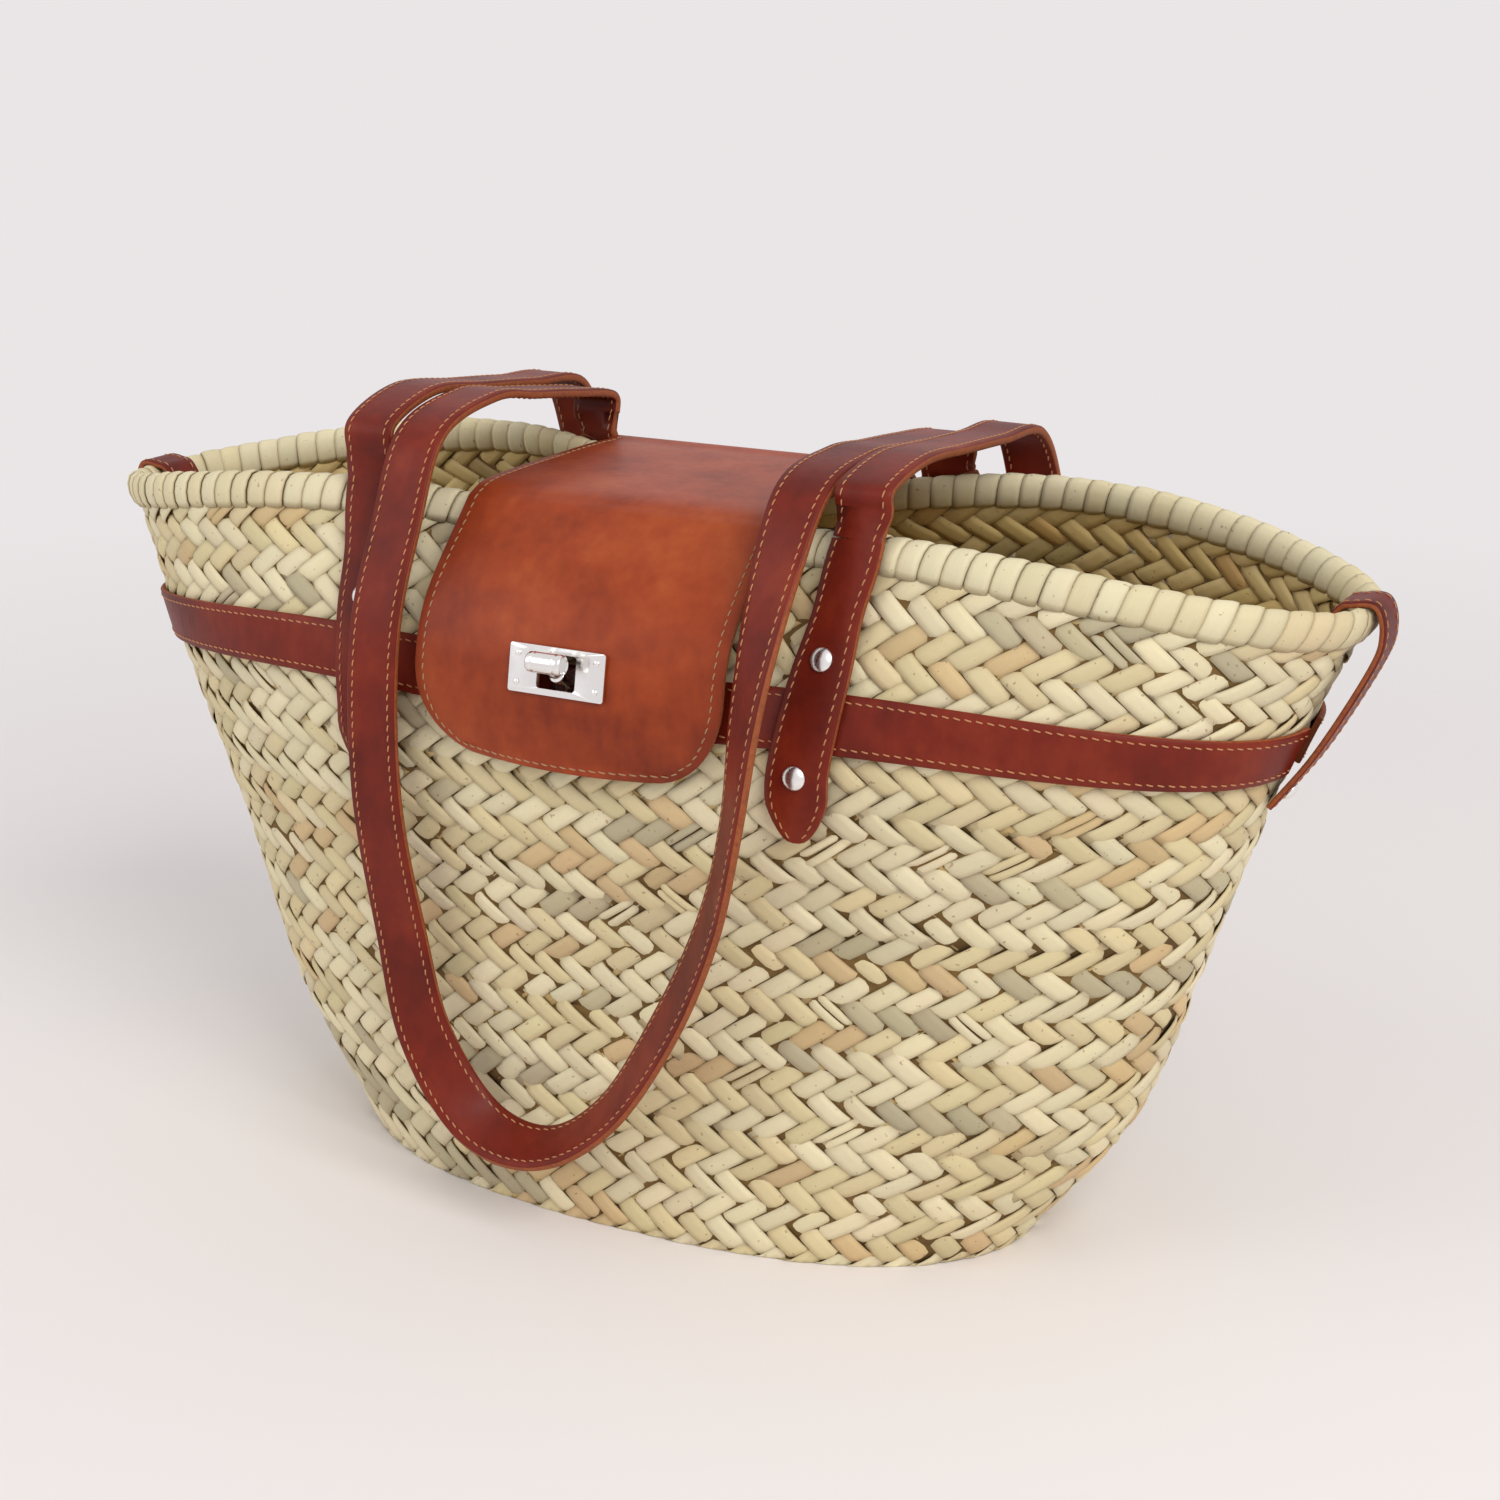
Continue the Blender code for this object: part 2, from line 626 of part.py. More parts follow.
def rounded_loop(width, tall, radius, per_corner):
    out = []
    for cx, cy, turn in ((1, 1, 0), (-1, 1, 1), (-1, -1, 2), (1, -1, 3)):
        for k in range(per_corner):
            a = math.pi / 2 * (turn + k / (per_corner - 1))
            out.append((cx * (width / 2 - radius) + radius * math.cos(a),
                        cy * (tall / 2 - radius) + radius * math.sin(a)))
    return out


def plate_with_slot(name, outer, slot_size, thick):
    rim_loop = rounded_loop(outer[0], outer[1], PLATE_ROUND, 6)
    slot_loop = rounded_loop(slot_size[0], slot_size[1], slot_size[1] * SLOT_ROUND, 6)
    m = len(rim_loop)
    verts = []
    for w in (0.0, thick):
        for loop in (rim_loop, slot_loop):
            verts += [lock_place(u, v, w) for u, v in loop]
    faces = []
    for i in range(m):
        j = (i + 1) % m
        faces += [(i, j, m + j, m + i), (2 * m + j, 2 * m + i, 3 * m + i, 3 * m + j),
                  (i, 2 * m + i, 2 * m + j, j), (m + j, 3 * m + j, 3 * m + i, m + i)]
    return add_node(name, verts, faces, "nickel")


plate_with_slot("lock_plate", PLATE_SIZE, SLOT_SIZE, PLATE)
for u in (-1, 1):
    for v in (-1, 1):
        place = ("l" if u < 0 else "r") + ("b" if v < 0 else "t")
        pin_u, pin_v = (size / 2 - PIN_INSET for size in PLATE_SIZE)
        spot = lock_place(u * pin_u, v * pin_v, PLATE + GAP)
        rivet(f"plate_rivet_{place}", spot, face, PIN_RADIUS, PIN_DOME, 2, PIN_SIDES)


def frame_box(name, centre, size, slot):
    verts = [centre + right * size[0] / 2 * a + up * size[1] / 2 * b + face * size[2] / 2 * c
             for c in (-1, 1) for b in (-1, 1) for a in (-1, 1)]
    faces = [(0, 1, 3, 2), (4, 6, 7, 5), (0, 4, 5, 1), (2, 3, 7, 6), (0, 2, 6, 4), (1, 5, 7, 3)]
    return add_node(name, verts, faces, slot)


def frame_rod(name, start, stop, radius, sides, slot):
    axis = (stop - start).normalized()
    u = axis.orthogonal().normalized()
    v = axis.cross(u)
    turns = [2 * math.pi * k / sides for k in range(sides)]
    verts = [p + (u * math.cos(a) + v * math.sin(a)) * radius for p in (start, stop) for a in turns]
    faces = [tuple(reversed(range(sides))), tuple(range(sides, 2 * sides))]
    faces += [(k, (k + 1) % sides, sides + (k + 1) % sides, sides + k) for k in range(sides)]
    return add_node(name, verts, faces, slot)


window_size = (SLOT_SIZE[0] + 2 * SLOT_MARGIN, SLOT_SIZE[1] + 2 * SLOT_MARGIN, 2 * SLOT_SIZE[1])
window = frame_box("window", lock_place(0, 0, -flap_thick), window_size, "leather")
combine(flap, window, "DIFFERENCE")

lean = (face * math.cos(POST_TILT) + up * math.sin(POST_TILT)).normalized()
hole = lock_place(0, 0, 0)


def base_face(level):
    return wall_point(0, level, -1) + wall_normal(0, level, -1) * (base_gap + BASE_SIZE[2])


def off_line(level):
    reach = base_face(level) - hole
    return (reach - lean * reach.dot(lean)).length


low, high = BASE_LEVELS
spot = min([low + (high - low) * k / BASE_TRIES for k in range(BASE_TRIES)], key=off_line)
rows = []
for k in range(-2, 3):
    level = spot + BASE_SIZE[1] / HEIGHT * k / 4
    places = [BASE_SIZE[0] / 2 * u for u in (-1, -0.5, 0, 0.5, 1)]
    rows.append([(wall_point(x, level, -1), wall_normal(x, level, -1)) for x in places])
sheet_solid("lock_base", rows, base_gap, BASE_SIZE[2], "nickel")
foot = hole + lean * ((base_face(spot) - hole).dot(lean) + POST_SEAT)
tip = hole + lean * (PLATE + BARREL_LIFT)
reach = right * BARREL_LENGTH / 2
post = frame_rod("lock_toggle", foot, tip, POST_RADIUS, 16, "nickel")
barrel = frame_rod("barrel", tip - reach, tip + reach, BARREL_RADIUS, 24, "nickel")
combine(post, barrel, "UNION")
pivots["toggle_turn"] = foot

# Joint axes, each an empty that carries the pieces turning about it
riders = {
    "flap_fold": ["flap_tongue", "lock_plate", "plate_rivet_lb", "plate_rivet_lt", "plate_rivet_rb",
                  "plate_rivet_rt"],
    "toggle_turn": ["lock_toggle"],
}
for label in ("front_handle", "rear_handle"):
    riders[f"{label}_root"] = [f"{label}_arch_left", f"{label}_arch_right"]
    riders[f"{label}_bend"] = [f"{label}_loop"]
for name, spot in pivots.items():
    pivot = bpy.data.objects.new(name, None)
    pivot.location = spot
    bpy.context.scene.collection.objects.link(pivot)
    for rider in riders[name]:
        child = bpy.data.objects[rider]
        child.parent = pivot
        child.matrix_parent_inverse = Matrix.Translation(-spot)
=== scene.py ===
import bpy
import bmesh
import json
import math
import numpy as np
from mathutils import Matrix, Vector


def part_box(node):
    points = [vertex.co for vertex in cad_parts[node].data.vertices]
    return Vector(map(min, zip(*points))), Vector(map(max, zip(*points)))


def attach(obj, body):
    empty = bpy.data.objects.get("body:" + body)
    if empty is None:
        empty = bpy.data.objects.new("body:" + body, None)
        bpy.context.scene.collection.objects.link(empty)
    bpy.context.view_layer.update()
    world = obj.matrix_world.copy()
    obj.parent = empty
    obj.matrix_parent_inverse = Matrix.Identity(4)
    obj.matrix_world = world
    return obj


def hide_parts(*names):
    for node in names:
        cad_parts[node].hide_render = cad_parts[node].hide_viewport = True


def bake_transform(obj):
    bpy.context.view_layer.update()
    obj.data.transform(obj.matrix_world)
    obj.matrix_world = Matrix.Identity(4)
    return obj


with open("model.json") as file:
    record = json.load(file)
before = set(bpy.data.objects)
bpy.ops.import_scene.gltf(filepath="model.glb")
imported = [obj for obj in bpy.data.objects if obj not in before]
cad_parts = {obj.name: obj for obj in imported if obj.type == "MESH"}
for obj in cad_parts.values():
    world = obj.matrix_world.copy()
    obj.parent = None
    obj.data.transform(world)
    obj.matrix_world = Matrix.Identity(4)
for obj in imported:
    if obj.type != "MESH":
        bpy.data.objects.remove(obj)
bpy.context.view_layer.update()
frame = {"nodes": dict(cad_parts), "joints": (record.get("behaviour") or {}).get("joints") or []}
scene = bpy.context.scene
bpy.ops.object.select_all(action="DESELECT")
rng = np.random.default_rng(11)


def linear(red, green, blue):
    return tuple(round(((c / 255 + 0.055) / 1.055) ** 2.4, 4) for c in (red, green, blue))


# Shader maths: a wrapped socket, a graph that makes nodes, a look with a surface

def joining(operation):
    return lambda self, other: self.calc(operation, self, other)


class Wire:
    def __init__(self, look, socket):
        self.look, self.socket = look, socket

    def calc(self, operation, left, right):
        return self.look.node("ShaderNodeMath", {"operation": operation}, {0: left, 1: right})

    def __rsub__(self, other):
        return self.calc("SUBTRACT", other, self)

    def __abs__(self):
        return self.calc("ABSOLUTE", self, 0.0)

    __add__ = __radd__ = joining("ADD")
    __mul__ = __rmul__ = joining("MULTIPLY")
    __sub__, __pow__, __gt__ = joining("SUBTRACT"), joining("POWER"), joining("GREATER_THAN")


class Graph:
    def __init__(self, owner):
        owner.use_nodes = True
        self.tree = owner.node_tree

    def node(self, kind, settings=None, sockets=None, out=0):
        made = self.tree.nodes.new(kind)
        for key, value in (settings or {}).items():
            if key == "stops":
                ramp = made.color_ramp
                while len(ramp.elements) < len(value):
                    ramp.elements.new(0.5)
                for stop, (place, colour) in zip(ramp.elements, value):
                    stop.position, stop.color = place, (*colour, 1.0)
            else:
                setattr(made, key, value)
        for key, value in (sockets or {}).items():
            if isinstance(value, Wire):
                self.tree.links.new(value.socket, made.inputs[key])
            else:
                made.inputs[key].default_value = value
        return Wire(self, made.outputs[out])

    def show(self, wire):
        ends = next(node for node in self.tree.nodes if node.name.endswith("Output"))
        self.tree.links.new(wire.socket, ends.inputs[0])


class Look(Graph):
    def __init__(self, name, **plain):
        self.material = bpy.data.materials.new(name)
        super().__init__(self.material)
        self.shader = self.tree.nodes["Principled BSDF"]
        for key, value in plain.items():
            self.shader.inputs[key.replace("_", " ")].default_value = value

    def mix(self, factor, first, second, blend="MIX"):
        first, second = ((*c, 1.0) if isinstance(c, tuple) else c for c in (first, second))
        return self.node("ShaderNodeMix", {"data_type": "RGBA", "blend_type": blend},
                         {0: factor, 6: first, 7: second}, 2)

    def place(self):
        return self.node("ShaderNodeTexCoord", out=3)

    def noise(self, where, scale, detail=3.0, rough=0.5):
        return self.node("ShaderNodeTexNoise", None,
                         {"Vector": where, "Scale": scale, "Detail": detail, "Roughness": rough})

    def stretch(self, where, scale):
        return self.node("ShaderNodeMapping", None, {"Vector": where, "Scale": scale})

    def bump(self, height, strength, distance):
        return self.node("ShaderNodeBump", None, {"Height": height, "Strength": strength, "Distance": distance})

    def feed(self, **wires):
        for key, wire in wires.items():
            self.tree.links.new(wire.socket, self.shader.inputs[key.replace("_", " ")])
        return self.material


# edge colours the darkened leaf sides and ends: partly wear and dirt, partly painted shade
leafMarksAndShade = dict(fibre=(1.4, 34.0, 1.0), fibreDepth=0.00022, speck=linear(126, 82, 38), edge=linear(116, 82, 40))


def palmLeaf(name, shade):
    look = Look(name, IOR=1.45)
    tone = look.node("ShaderNodeAttribute", {"attribute_name": "leafTone"})
    where = look.node("ShaderNodeUVMap", {"uv_map": "leafUv"})
    parts = look.node("ShaderNodeSeparateXYZ", None, {0: where})
    along, across = (parts.calc("FRACT", Wire(look, parts.socket.node.outputs[k]), 0.0) for k in (0, 1))
    fibre = look.noise(look.stretch(where, leafMarksAndShade["fibre"]), 3.0, 4.0, 0.62)
    blotch = look.noise(look.place(), 90.0, 2.0)
    lines = look.mix(fibre * 0.9, tone, (0.30, 0.235, 0.13), "MULTIPLY")
    body = look.mix(fibre * 0.38 + blotch * 0.16, tone, lines)
    # Leaf sides and ends darkened: partly wear and dirt, partly painted shade where each leaf dives under its
    # neighbours
    edgeMask = (abs(across * 2.0 - 1.0) ** 14.0) * 0.45 + (abs(along * 2.0 - 1.0) ** 9.0) * 0.34
    wornAndShaded = look.mix(edgeMask, body, leafMarksAndShade["edge"])
    spots = look.noise(look.place(), 420.0, 1.0) > 0.735
    colour = look.mix(spots * 0.45, wornAndShaded, leafMarksAndShade["speck"])
    colour = look.mix(1.0, colour, shade, "MULTIPLY")
    rough = 0.50 + fibre * 0.22
    return look.feed(Base_Color=colour, Roughness=rough,
                     Normal=look.bump(fibre, 0.55, leafMarksAndShade["fibreDepth"]))


def leatherLook(name, tones, gloss, halfWidth=0.0):
    dark, mid, light = (linear(*tone) for tone in tones)
    look = Look(name, IOR=1.5, Coat_Roughness=0.25, Specular_IOR_Level=0.22)
    where = look.place()
    cloud = look.noise(where, 22.0, 4.0, 0.6)
    streak = look.noise(look.stretch(where, (1.0, 1.0, 0.35)), 160.0, 3.0)
    tone = look.node("ShaderNodeValToRGB", {"stops": [(0.28, dark), (0.52, mid), (0.76, light)]},
                     {0: cloud * 0.8 + streak * 0.2})
    pores = look.node("ShaderNodeTexVoronoi", {"feature": "DISTANCE_TO_EDGE"}, {"Vector": where, "Scale": 820.0})
    creases = look.noise(where, 300.0, 4.0, 0.65)
    # Darker in the hollows of the crease bump: painted shade in the creases
    colour = look.mix(0.25 * (1.0 - creases), tone, dark)
    # Darker towards the sheet's side edges: painted shade where the domed flap turns away
    if halfWidth:
        margin = abs(look.node("ShaderNodeSeparateXYZ", None, {0: where})) * (1.0 / halfWidth)
        colour = look.mix((margin ** 5.0) * 0.62, colour, dark)
    rough = 0.30 + gloss + creases * 0.16
    height = creases * 0.6 + pores * 0.5
    return look.feed(Base_Color=colour, Roughness=rough, Coat_Weight=0.02 + cloud * 0.12,
                     Normal=look.bump(height, 0.45, 0.00028))


def grainLook(name, dark, light, scale, detail, rough, strength, depth):
    look = Look(name, IOR=1.45)
    grain = look.noise(look.place(), scale, detail)
    return look.feed(Base_Color=look.mix(grain, linear(*dark), linear(*light)), Roughness=rough + grain * 0.2,
                     Normal=look.bump(grain, strength, depth))


def nickelLook(name, tint, base):
    look = Look(name, Metallic=1.0, Base_Color=(*tint, 1.0))
    haze = look.noise(look.place(), 140.0, 4.0)
    marks = look.noise(look.stretch(look.place(), (1.0, 1.0, 9.0)), 900.0, 2.0)
    return look.feed(Roughness=base + haze * 0.14 + marks * 0.05, Normal=look.bump(marks, 0.05, 0.0001))


leaf = palmLeaf("palmOuter", (1.0, 0.985, 0.93))
# The inside copy is darker and warmer than the outside: painted shade inside the basket
leafInside = palmLeaf("palmInside", (0.93, 0.80, 0.52))
leafRim = palmLeaf("palmRim", (1.0, 1.0, 0.96))
# A dark sheet behind the plait: painted shade seen through the gaps between leaves
gapLook = Look("palmShade", IOR=1.4, Roughness=0.9)
gapGrain = gapLook.noise(gapLook.place(), 260.0)
gapShadeSheet = gapLook.feed(Base_Color=gapLook.mix(gapGrain, linear(84, 62, 30), linear(134, 104, 58)))
strapLeather = leatherLook("strapLeather", ((78, 16, 5), (118, 30, 10), (148, 52, 20)), 0.12)
# halfWidth darkens the flap towards its side edges: painted shade
flapLeather = leatherLook("flapLeather", ((112, 36, 12), (160, 64, 24), (186, 90, 38)), 0.08, halfWidth=0.074)
rawEdge = grainLook("rawEdge", (104, 42, 18), (176, 96, 48), 520.0, 3.0, 0.62, 0.5, 0.0002)
threadGrain = (2400.0, 2.0, 0.6, 0.4, 0.0001)
strapThread = grainLook("strapThread", (164, 96, 56), (212, 158, 112), *threadGrain)
flapThread = grainLook("flapThread", (118, 84, 58), (196, 158, 118), *threadGrain)
wallLooks, strapLooks = [leaf, leafInside, gapShadeSheet], [strapLeather, rawEdge, strapThread]
nickel = nickelLook("nickel", (0.86, 0.85, 0.83), 0.10)
rivetNickel = nickelLook("rivetNickel", (0.88, 0.87, 0.85), 0.18)
print("looks made")


# Shape of the wall, as in the solids

shell = dict(halfLength=0.292, height=0.324, lengthShape=(0.562, 0.705, 0.805, 0.892, 1.0), halfDepth=0.096,
             depthShape=(0.895, 0.900, 0.960, 1.150, 1.0), levels=(0.0, 0.18, 0.45, 0.72, 1.0), power=2.30,
             endDrop=0.036, mouthDip=0.022, dipLength=0.100, pinch=0.56, pinchLength=0.132, pinchStart=0.50,
             wall=0.004, rimStart=0.950)


def throughLevels(values, s):
    levels, values = np.array(shell["levels"]), np.array(values)
    rise = np.empty_like(values)
    rise[1:-1] = (values[2:] - values[:-2]) / (levels[2:] - levels[:-2])
    rise[[0, -1]] = (np.diff(values) / np.diff(levels))[[0, -1]]
    k = np.clip(np.searchsorted(levels, s, "right") - 1, 0, len(levels) - 2)
    h = levels[k + 1] - levels[k]
    t = (s - levels[k]) / h
    return ((2 * t**3 - 3 * t**2 + 1) * values[k] + (t**3 - 2 * t**2 + t) * h * rise[k]
            + (3 * t**2 - 2 * t**3) * values[k + 1] + (t**3 - t**2) * h * rise[k + 1])


def lengthAt(s):
    return shell["halfLength"] * throughLevels(shell["lengthShape"], s)


def depthAt(s):
    return shell["halfDepth"] * throughLevels(shell["depthShape"], s)


def heightAt(x, s):
    rim = shell["height"] - shell["endDrop"] * (x / shell["halfLength"]) ** 2
    rim = rim - shell["mouthDip"] * np.exp(-((x / shell["dipLength"]) ** 2))
    return s * (shell["height"] * (1 - s) + rim * s)


def pinchAt(x, s):
    top = np.maximum((s - shell["pinchStart"]) / (1 - shell["pinchStart"]), 0.0) ** 2
    return 1 - shell["pinch"] * top * np.exp(-((x / shell["pinchLength"]) ** 2))


def ringPoint(angle, s):
    power = 2 / shell["power"]
    c, q = np.cos(angle), np.sin(angle)
    x = lengthAt(s) * np.sign(c) * np.abs(c) ** power
    y = depthAt(s) * np.sign(q) * np.abs(q) ** power * pinchAt(x, s)
    return np.stack([x, y, heightAt(x, s)], -1)


def wallPoint(x, s, side):
    share = np.minimum(np.abs(x) / lengthAt(s), 0.999)
    y = depthAt(s) * (1 - share ** shell["power"]) ** (1 / shell["power"]) * pinchAt(x, s)
    return np.stack([x + 0 * s, side * y, heightAt(x, s)], -1)


xAxis = np.array([1.0, 0.0, 0.0])


def unit(v):
    return v / np.maximum(np.linalg.norm(v, axis=-1, keepdims=True), 1e-12)


def wallNormal(x, s, side):
    step = 0.003
    across = wallPoint(x + step, s, side) - wallPoint(x - step, s, side)
    up = wallPoint(x, np.minimum(s + step, 1.0), side) - wallPoint(x, s - step, side)
    n = unit(np.cross(across, up))
    return n * np.sign(n[..., 1:2] * side)


# A point lifted off the wall, and the outward direction there
def offWall(x, s, side, lift):
    normal = wallNormal(x, s, side)
    return wallPoint(x, s, side) + normal * np.asarray(lift)[..., None], normal


def runAlong(points):
    return np.concatenate([[0.0], np.cumsum(np.linalg.norm(np.diff(points, axis=0), axis=1))])


def circle(count):
    return np.linspace(0, 2 * math.pi, count, endpoint=False)


# Equal steps along the wall's own length, so that leaves keep their width round the ends
tableAngles = np.linspace(0.0, 2 * math.pi, 2881)
angleTable, girth = [], []
for level in np.linspace(0.0, 1.0, 81):
    ring = ringPoint(tableAngles, np.full_like(tableAngles, level))
    run = runAlong(ring)
    girth.append(run[-1])
    angleTable.append(np.interp(np.linspace(0.0, 1.0, 1441), run / run[-1], tableAngles))
angleTable, girth = np.array(angleTable), np.array(girth)


def angleAt(share, s):
    turns = np.floor(share)
    a, b = (share - turns) * 1440, np.clip(s, 0, 1) * 80
    i, j = np.minimum(a.astype(int), 1439), np.minimum(b.astype(int), 79)
    a, b = a - i, b - j
    low = angleTable[j, i] * (1 - a) + angleTable[j, i + 1] * a
    high = angleTable[j + 1, i] * (1 - a) + angleTable[j + 1, i + 1] * a
    return low * (1 - b) + high * b + turns * 2 * math.pi


def onWall(share, s):
    share, s = np.broadcast_arrays(share, np.clip(s, 0.0, 1.0))
    point = ringPoint(angleAt(share, s), s)
    stepU, stepS = 0.0008, 0.004
    along = ringPoint(angleAt(share + stepU, s), s) - ringPoint(angleAt(share - stepU, s), s)
    low, high = np.maximum(s - stepS, 0.0), np.minimum(s + stepS, 1.0)
    up = ringPoint(angleAt(share, high), high) - ringPoint(angleAt(share, low), low)
    return point, unit(np.cross(along, up))


def linked(name, data):
    obj = bpy.data.objects.new(name, data)
    scene.collection.objects.link(obj)
    return obj


def meshObject(name, points, faces, materials):
    mesh = bpy.data.meshes.new(name)
    mesh.from_pydata(points, [], faces)
    for material in materials:
        mesh.materials.append(material)
    return linked(name, mesh)


def picked(obj):
    bpy.ops.object.select_all(action="DESELECT")
    bpy.context.view_layer.objects.active = obj
    obj.select_set(True)


# A small bevel, after any other modifiers, and smooth shading up to an angle
def easedEdges(obj, width, limit, smooth):
    bevel = obj.modifiers.new("easedEdge", "BEVEL")
    bevel.width, bevel.segments, bevel.limit_method, bevel.angle_limit = width, 2, "ANGLE", math.radians(limit)
    picked(obj)
    for name in obj.modifiers.keys():
        bpy.ops.object.modifier_apply(modifier=name)
    bpy.ops.object.shade_smooth_by_angle(angle=math.radians(smooth))


# Loose shells gathered into one mesh

class Heap:
    def __init__(self):
        self.points, self.quads, self.slots, self.tones, self.uvs, self.count = [], [], [], [], [], 0

    def add(self, points, quads, slot=0, tone=(0.5, 0.5, 0.5), uv=None):
        points = np.asarray(points, float).reshape(-1, 3)
        quads = np.asarray(quads, int).reshape(-1, 4)
        self.points.append(points)
        self.quads.append(quads + self.count)
        self.slots.append(np.broadcast_to(np.asarray(slot, int), (len(quads),)))
        self.tones.append(np.broadcast_to(np.asarray(tone, float), (len(points), 3)))
        self.uvs.append(np.zeros((len(points), 2)) if uv is None else np.asarray(uv, float).reshape(-1, 2))
        self.count += len(points)

    def make(self, name, materials, body=None, replaced=()):
        points, quads = np.concatenate(self.points), np.concatenate(self.quads)
        obj = meshObject(name, points, quads, materials)
        mesh = obj.data
        mesh.polygons.foreach_set("material_index", np.concatenate(self.slots).astype(np.int32))
        tone = mesh.attributes.new("leafTone", "FLOAT_COLOR", "POINT")
        shades = np.concatenate([np.concatenate(self.tones), np.ones((len(points), 1))], 1)
        tone.data.foreach_set("color", shades.astype(np.float32).ravel())
        layer = mesh.uv_layers.new(name="leafUv")
        layer.data.foreach_set("uv", np.concatenate(self.uvs)[quads.ravel()].astype(np.float32).ravel())
        work = bmesh.new()
        work.from_mesh(mesh)
        bmesh.ops.recalc_face_normals(work, faces=work.faces)
        work.to_mesh(mesh)
        work.free()
        mesh.shade_smooth()
        return finished(obj, body, replaced)


def finished(obj, body=None, replaced=()):
    if body:
        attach(obj, body)
    if replaced:
        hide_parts(*replaced)
    return obj


def gridQuads(rows, columns):
    corners = [i * columns + j for i in range(rows - 1) for j in range(columns - 1)]
    return [(a, a + 1, a + columns + 1, a + columns) for a in corners]


# Quads of one closed patch: a top grid, the same grid below it, and the sides between
def patchQuads(rows, columns):
    quads, half = [], rows * columns
    for quad in gridQuads(rows, columns):
        quads += [quad, tuple(half + k for k in quad[::-1])]
    border = list(range(columns)) + [i * columns + columns - 1 for i in range(1, rows)]
    border += [half - 1 - j for j in range(1, columns)] + [i * columns for i in range(rows - 2, 0, -1)]
    for a, b in zip(border, border[1:] + border[:1]):
        quads.append((b, a, half + a, half + b))
    return np.array(quads)


# Closed leaves from grids of tops and undersides, each with its own tone and place in the grain
def addLeaves(heap, top, under, along, across, shift, tones, slot):
    n, rows, columns = top.shape[:3]
    block = np.concatenate([top.reshape(n, -1, 3), under.reshape(n, -1, 3)], 1)
    uv = np.clip(np.stack([along, across], -1), 0.001, 0.999).reshape(n, -1, 2)
    size = block.shape[1]
    quads = np.arange(n)[:, None, None] * size + patchQuads(rows, columns)
    heap.add(block, quads, slot, np.repeat(tones, size, 0), np.concatenate([uv, uv], 1) + shift)


# Palm-leaf plait

plait = dict(rows=28, pitch=0.0143, along=9, across=4, gap=0.014, tuck=0.20, peak=0.00030, endDip=0.0012,
             deepest=0.0013, edgeDip=0.00050, thick=0.0005, wander=0.00070, splitShare=0.02,
             slide=0.015, uneven=0.035, skew=0.05, sway=0.05, sunk=0.6, tilt=0.45, coreDepths=(0.0014, 0.0026),
             strips=((0.0, 1.0), (0.04, 0.44), (0.56, 0.42)))
leafTones = np.array([linear(238, 227, 194), linear(228, 213, 172), linear(220, 193, 149), linear(198, 187, 157),
                      linear(190, 146, 92)])
toneShares = np.array([0.48, 0.37, 0.075, 0.065, 0.01])


def wobble(count):
    return rng.normal(size=(count, 1, 1))


# Leaves picked by rank, so that each row has its shares of every tone, in runs of neighbours
def leafColours(count):
    drift = np.convolve(rng.normal(size=count + 12), np.ones(7) / 7, "same")[6:-6]
    rank = np.argsort(np.argsort(drift + rng.normal(size=count) * 0.17)) / count
    order = np.array([3, 0, 1, 2, 4])
    kind = order[np.searchsorted(np.cumsum(toneShares[order]), rank).clip(0, 4)]
    return leafTones[kind] * (1 + rng.normal(size=(count, 1)) * 0.05) + rng.normal(size=(count, 3)) * 0.006


# One row of leaf floats on a surface, each lying over two crossings and tucked in at both ends
def leafRow(heap, surface, count, start, pitch, slant, side, base, slot):
    t = np.linspace(-plait["tuck"], 1 + plait["tuck"], plait["along"])
    w = np.linspace(plait["gap"], 1 - plait["gap"], plait["across"])
    tones = leafColours(count)
    split = rng.random(count) < plait["splitShare"]
    for piece, (left, share) in enumerate(plait["strips"]):
        chosen = np.flatnonzero(split == (piece > 0))
        n = len(chosen)
        if not n:
            continue
        tt, ww = np.meshgrid(t, left + share * w, indexing="ij")
        tt, ww = tt + wobble(n) * plait["slide"], ww + 0 * chosen[:, None, None]
        middle = ww.mean(axis=2, keepdims=True)
        ww = middle + (ww - middle) * (1 + wobble(n) * plait["uneven"])
        ww = ww + (tt - 0.5) * wobble(n) * plait["skew"]
        long, short = (2 * tt, ww) if slant > 0 else (ww, 2 * tt)
        u = (chosen[:, None, None] + 0.5 * (long - short)) / count
        v = start + pitch * 0.5 * (long + short)
        v = v + pitch * plait["sway"] * np.sin(2 * math.pi * (u * 5 + start * 3))
        cross = np.linspace(-1, 1, plait["across"])
        sink = np.minimum(plait["endDip"] * np.abs(2 * tt - 1) ** 4.5, plait["deepest"])
        lift = plait["peak"] - sink - plait["edgeDip"] * np.abs(cross) ** 3
        lift = lift - np.abs(wobble(n)) * plait["wander"] * plait["sunk"]
        lift = lift + cross * wobble(n) * plait["wander"] * plait["tilt"]
        lift = np.minimum(lift, plait["peak"])
        point, normal = surface(u, v)
        top, under = (point + normal * (base + side * (lift - drop))[..., None]
                      for drop in (0.0, plait["thick"]))
        shift = np.floor(rng.random((n, 1, 2)) * 40)
        addLeaves(heap, top, under, tt, ww, shift, tones[chosen], slot)


# Faces of a ring that closes on itself, and of a tube open at both ends
def ringQuads(around, section):
    i, k = np.meshgrid(np.arange(around), np.arange(section), indexing="ij")
    j, m = (i + 1) % around, (k + 1) % section
    return np.stack([i * section + k, j * section + k, j * section + m, i * section + m], -1)


def tubeQuads(rings, sides):
    i, j = np.meshgrid(np.arange(rings - 1) * sides, np.arange(sides), indexing="ij")
    k = (j + 1) % sides
    return np.stack([i + j, i + k, i + sides + k, i + sides + j], -1).reshape(-1, 4)


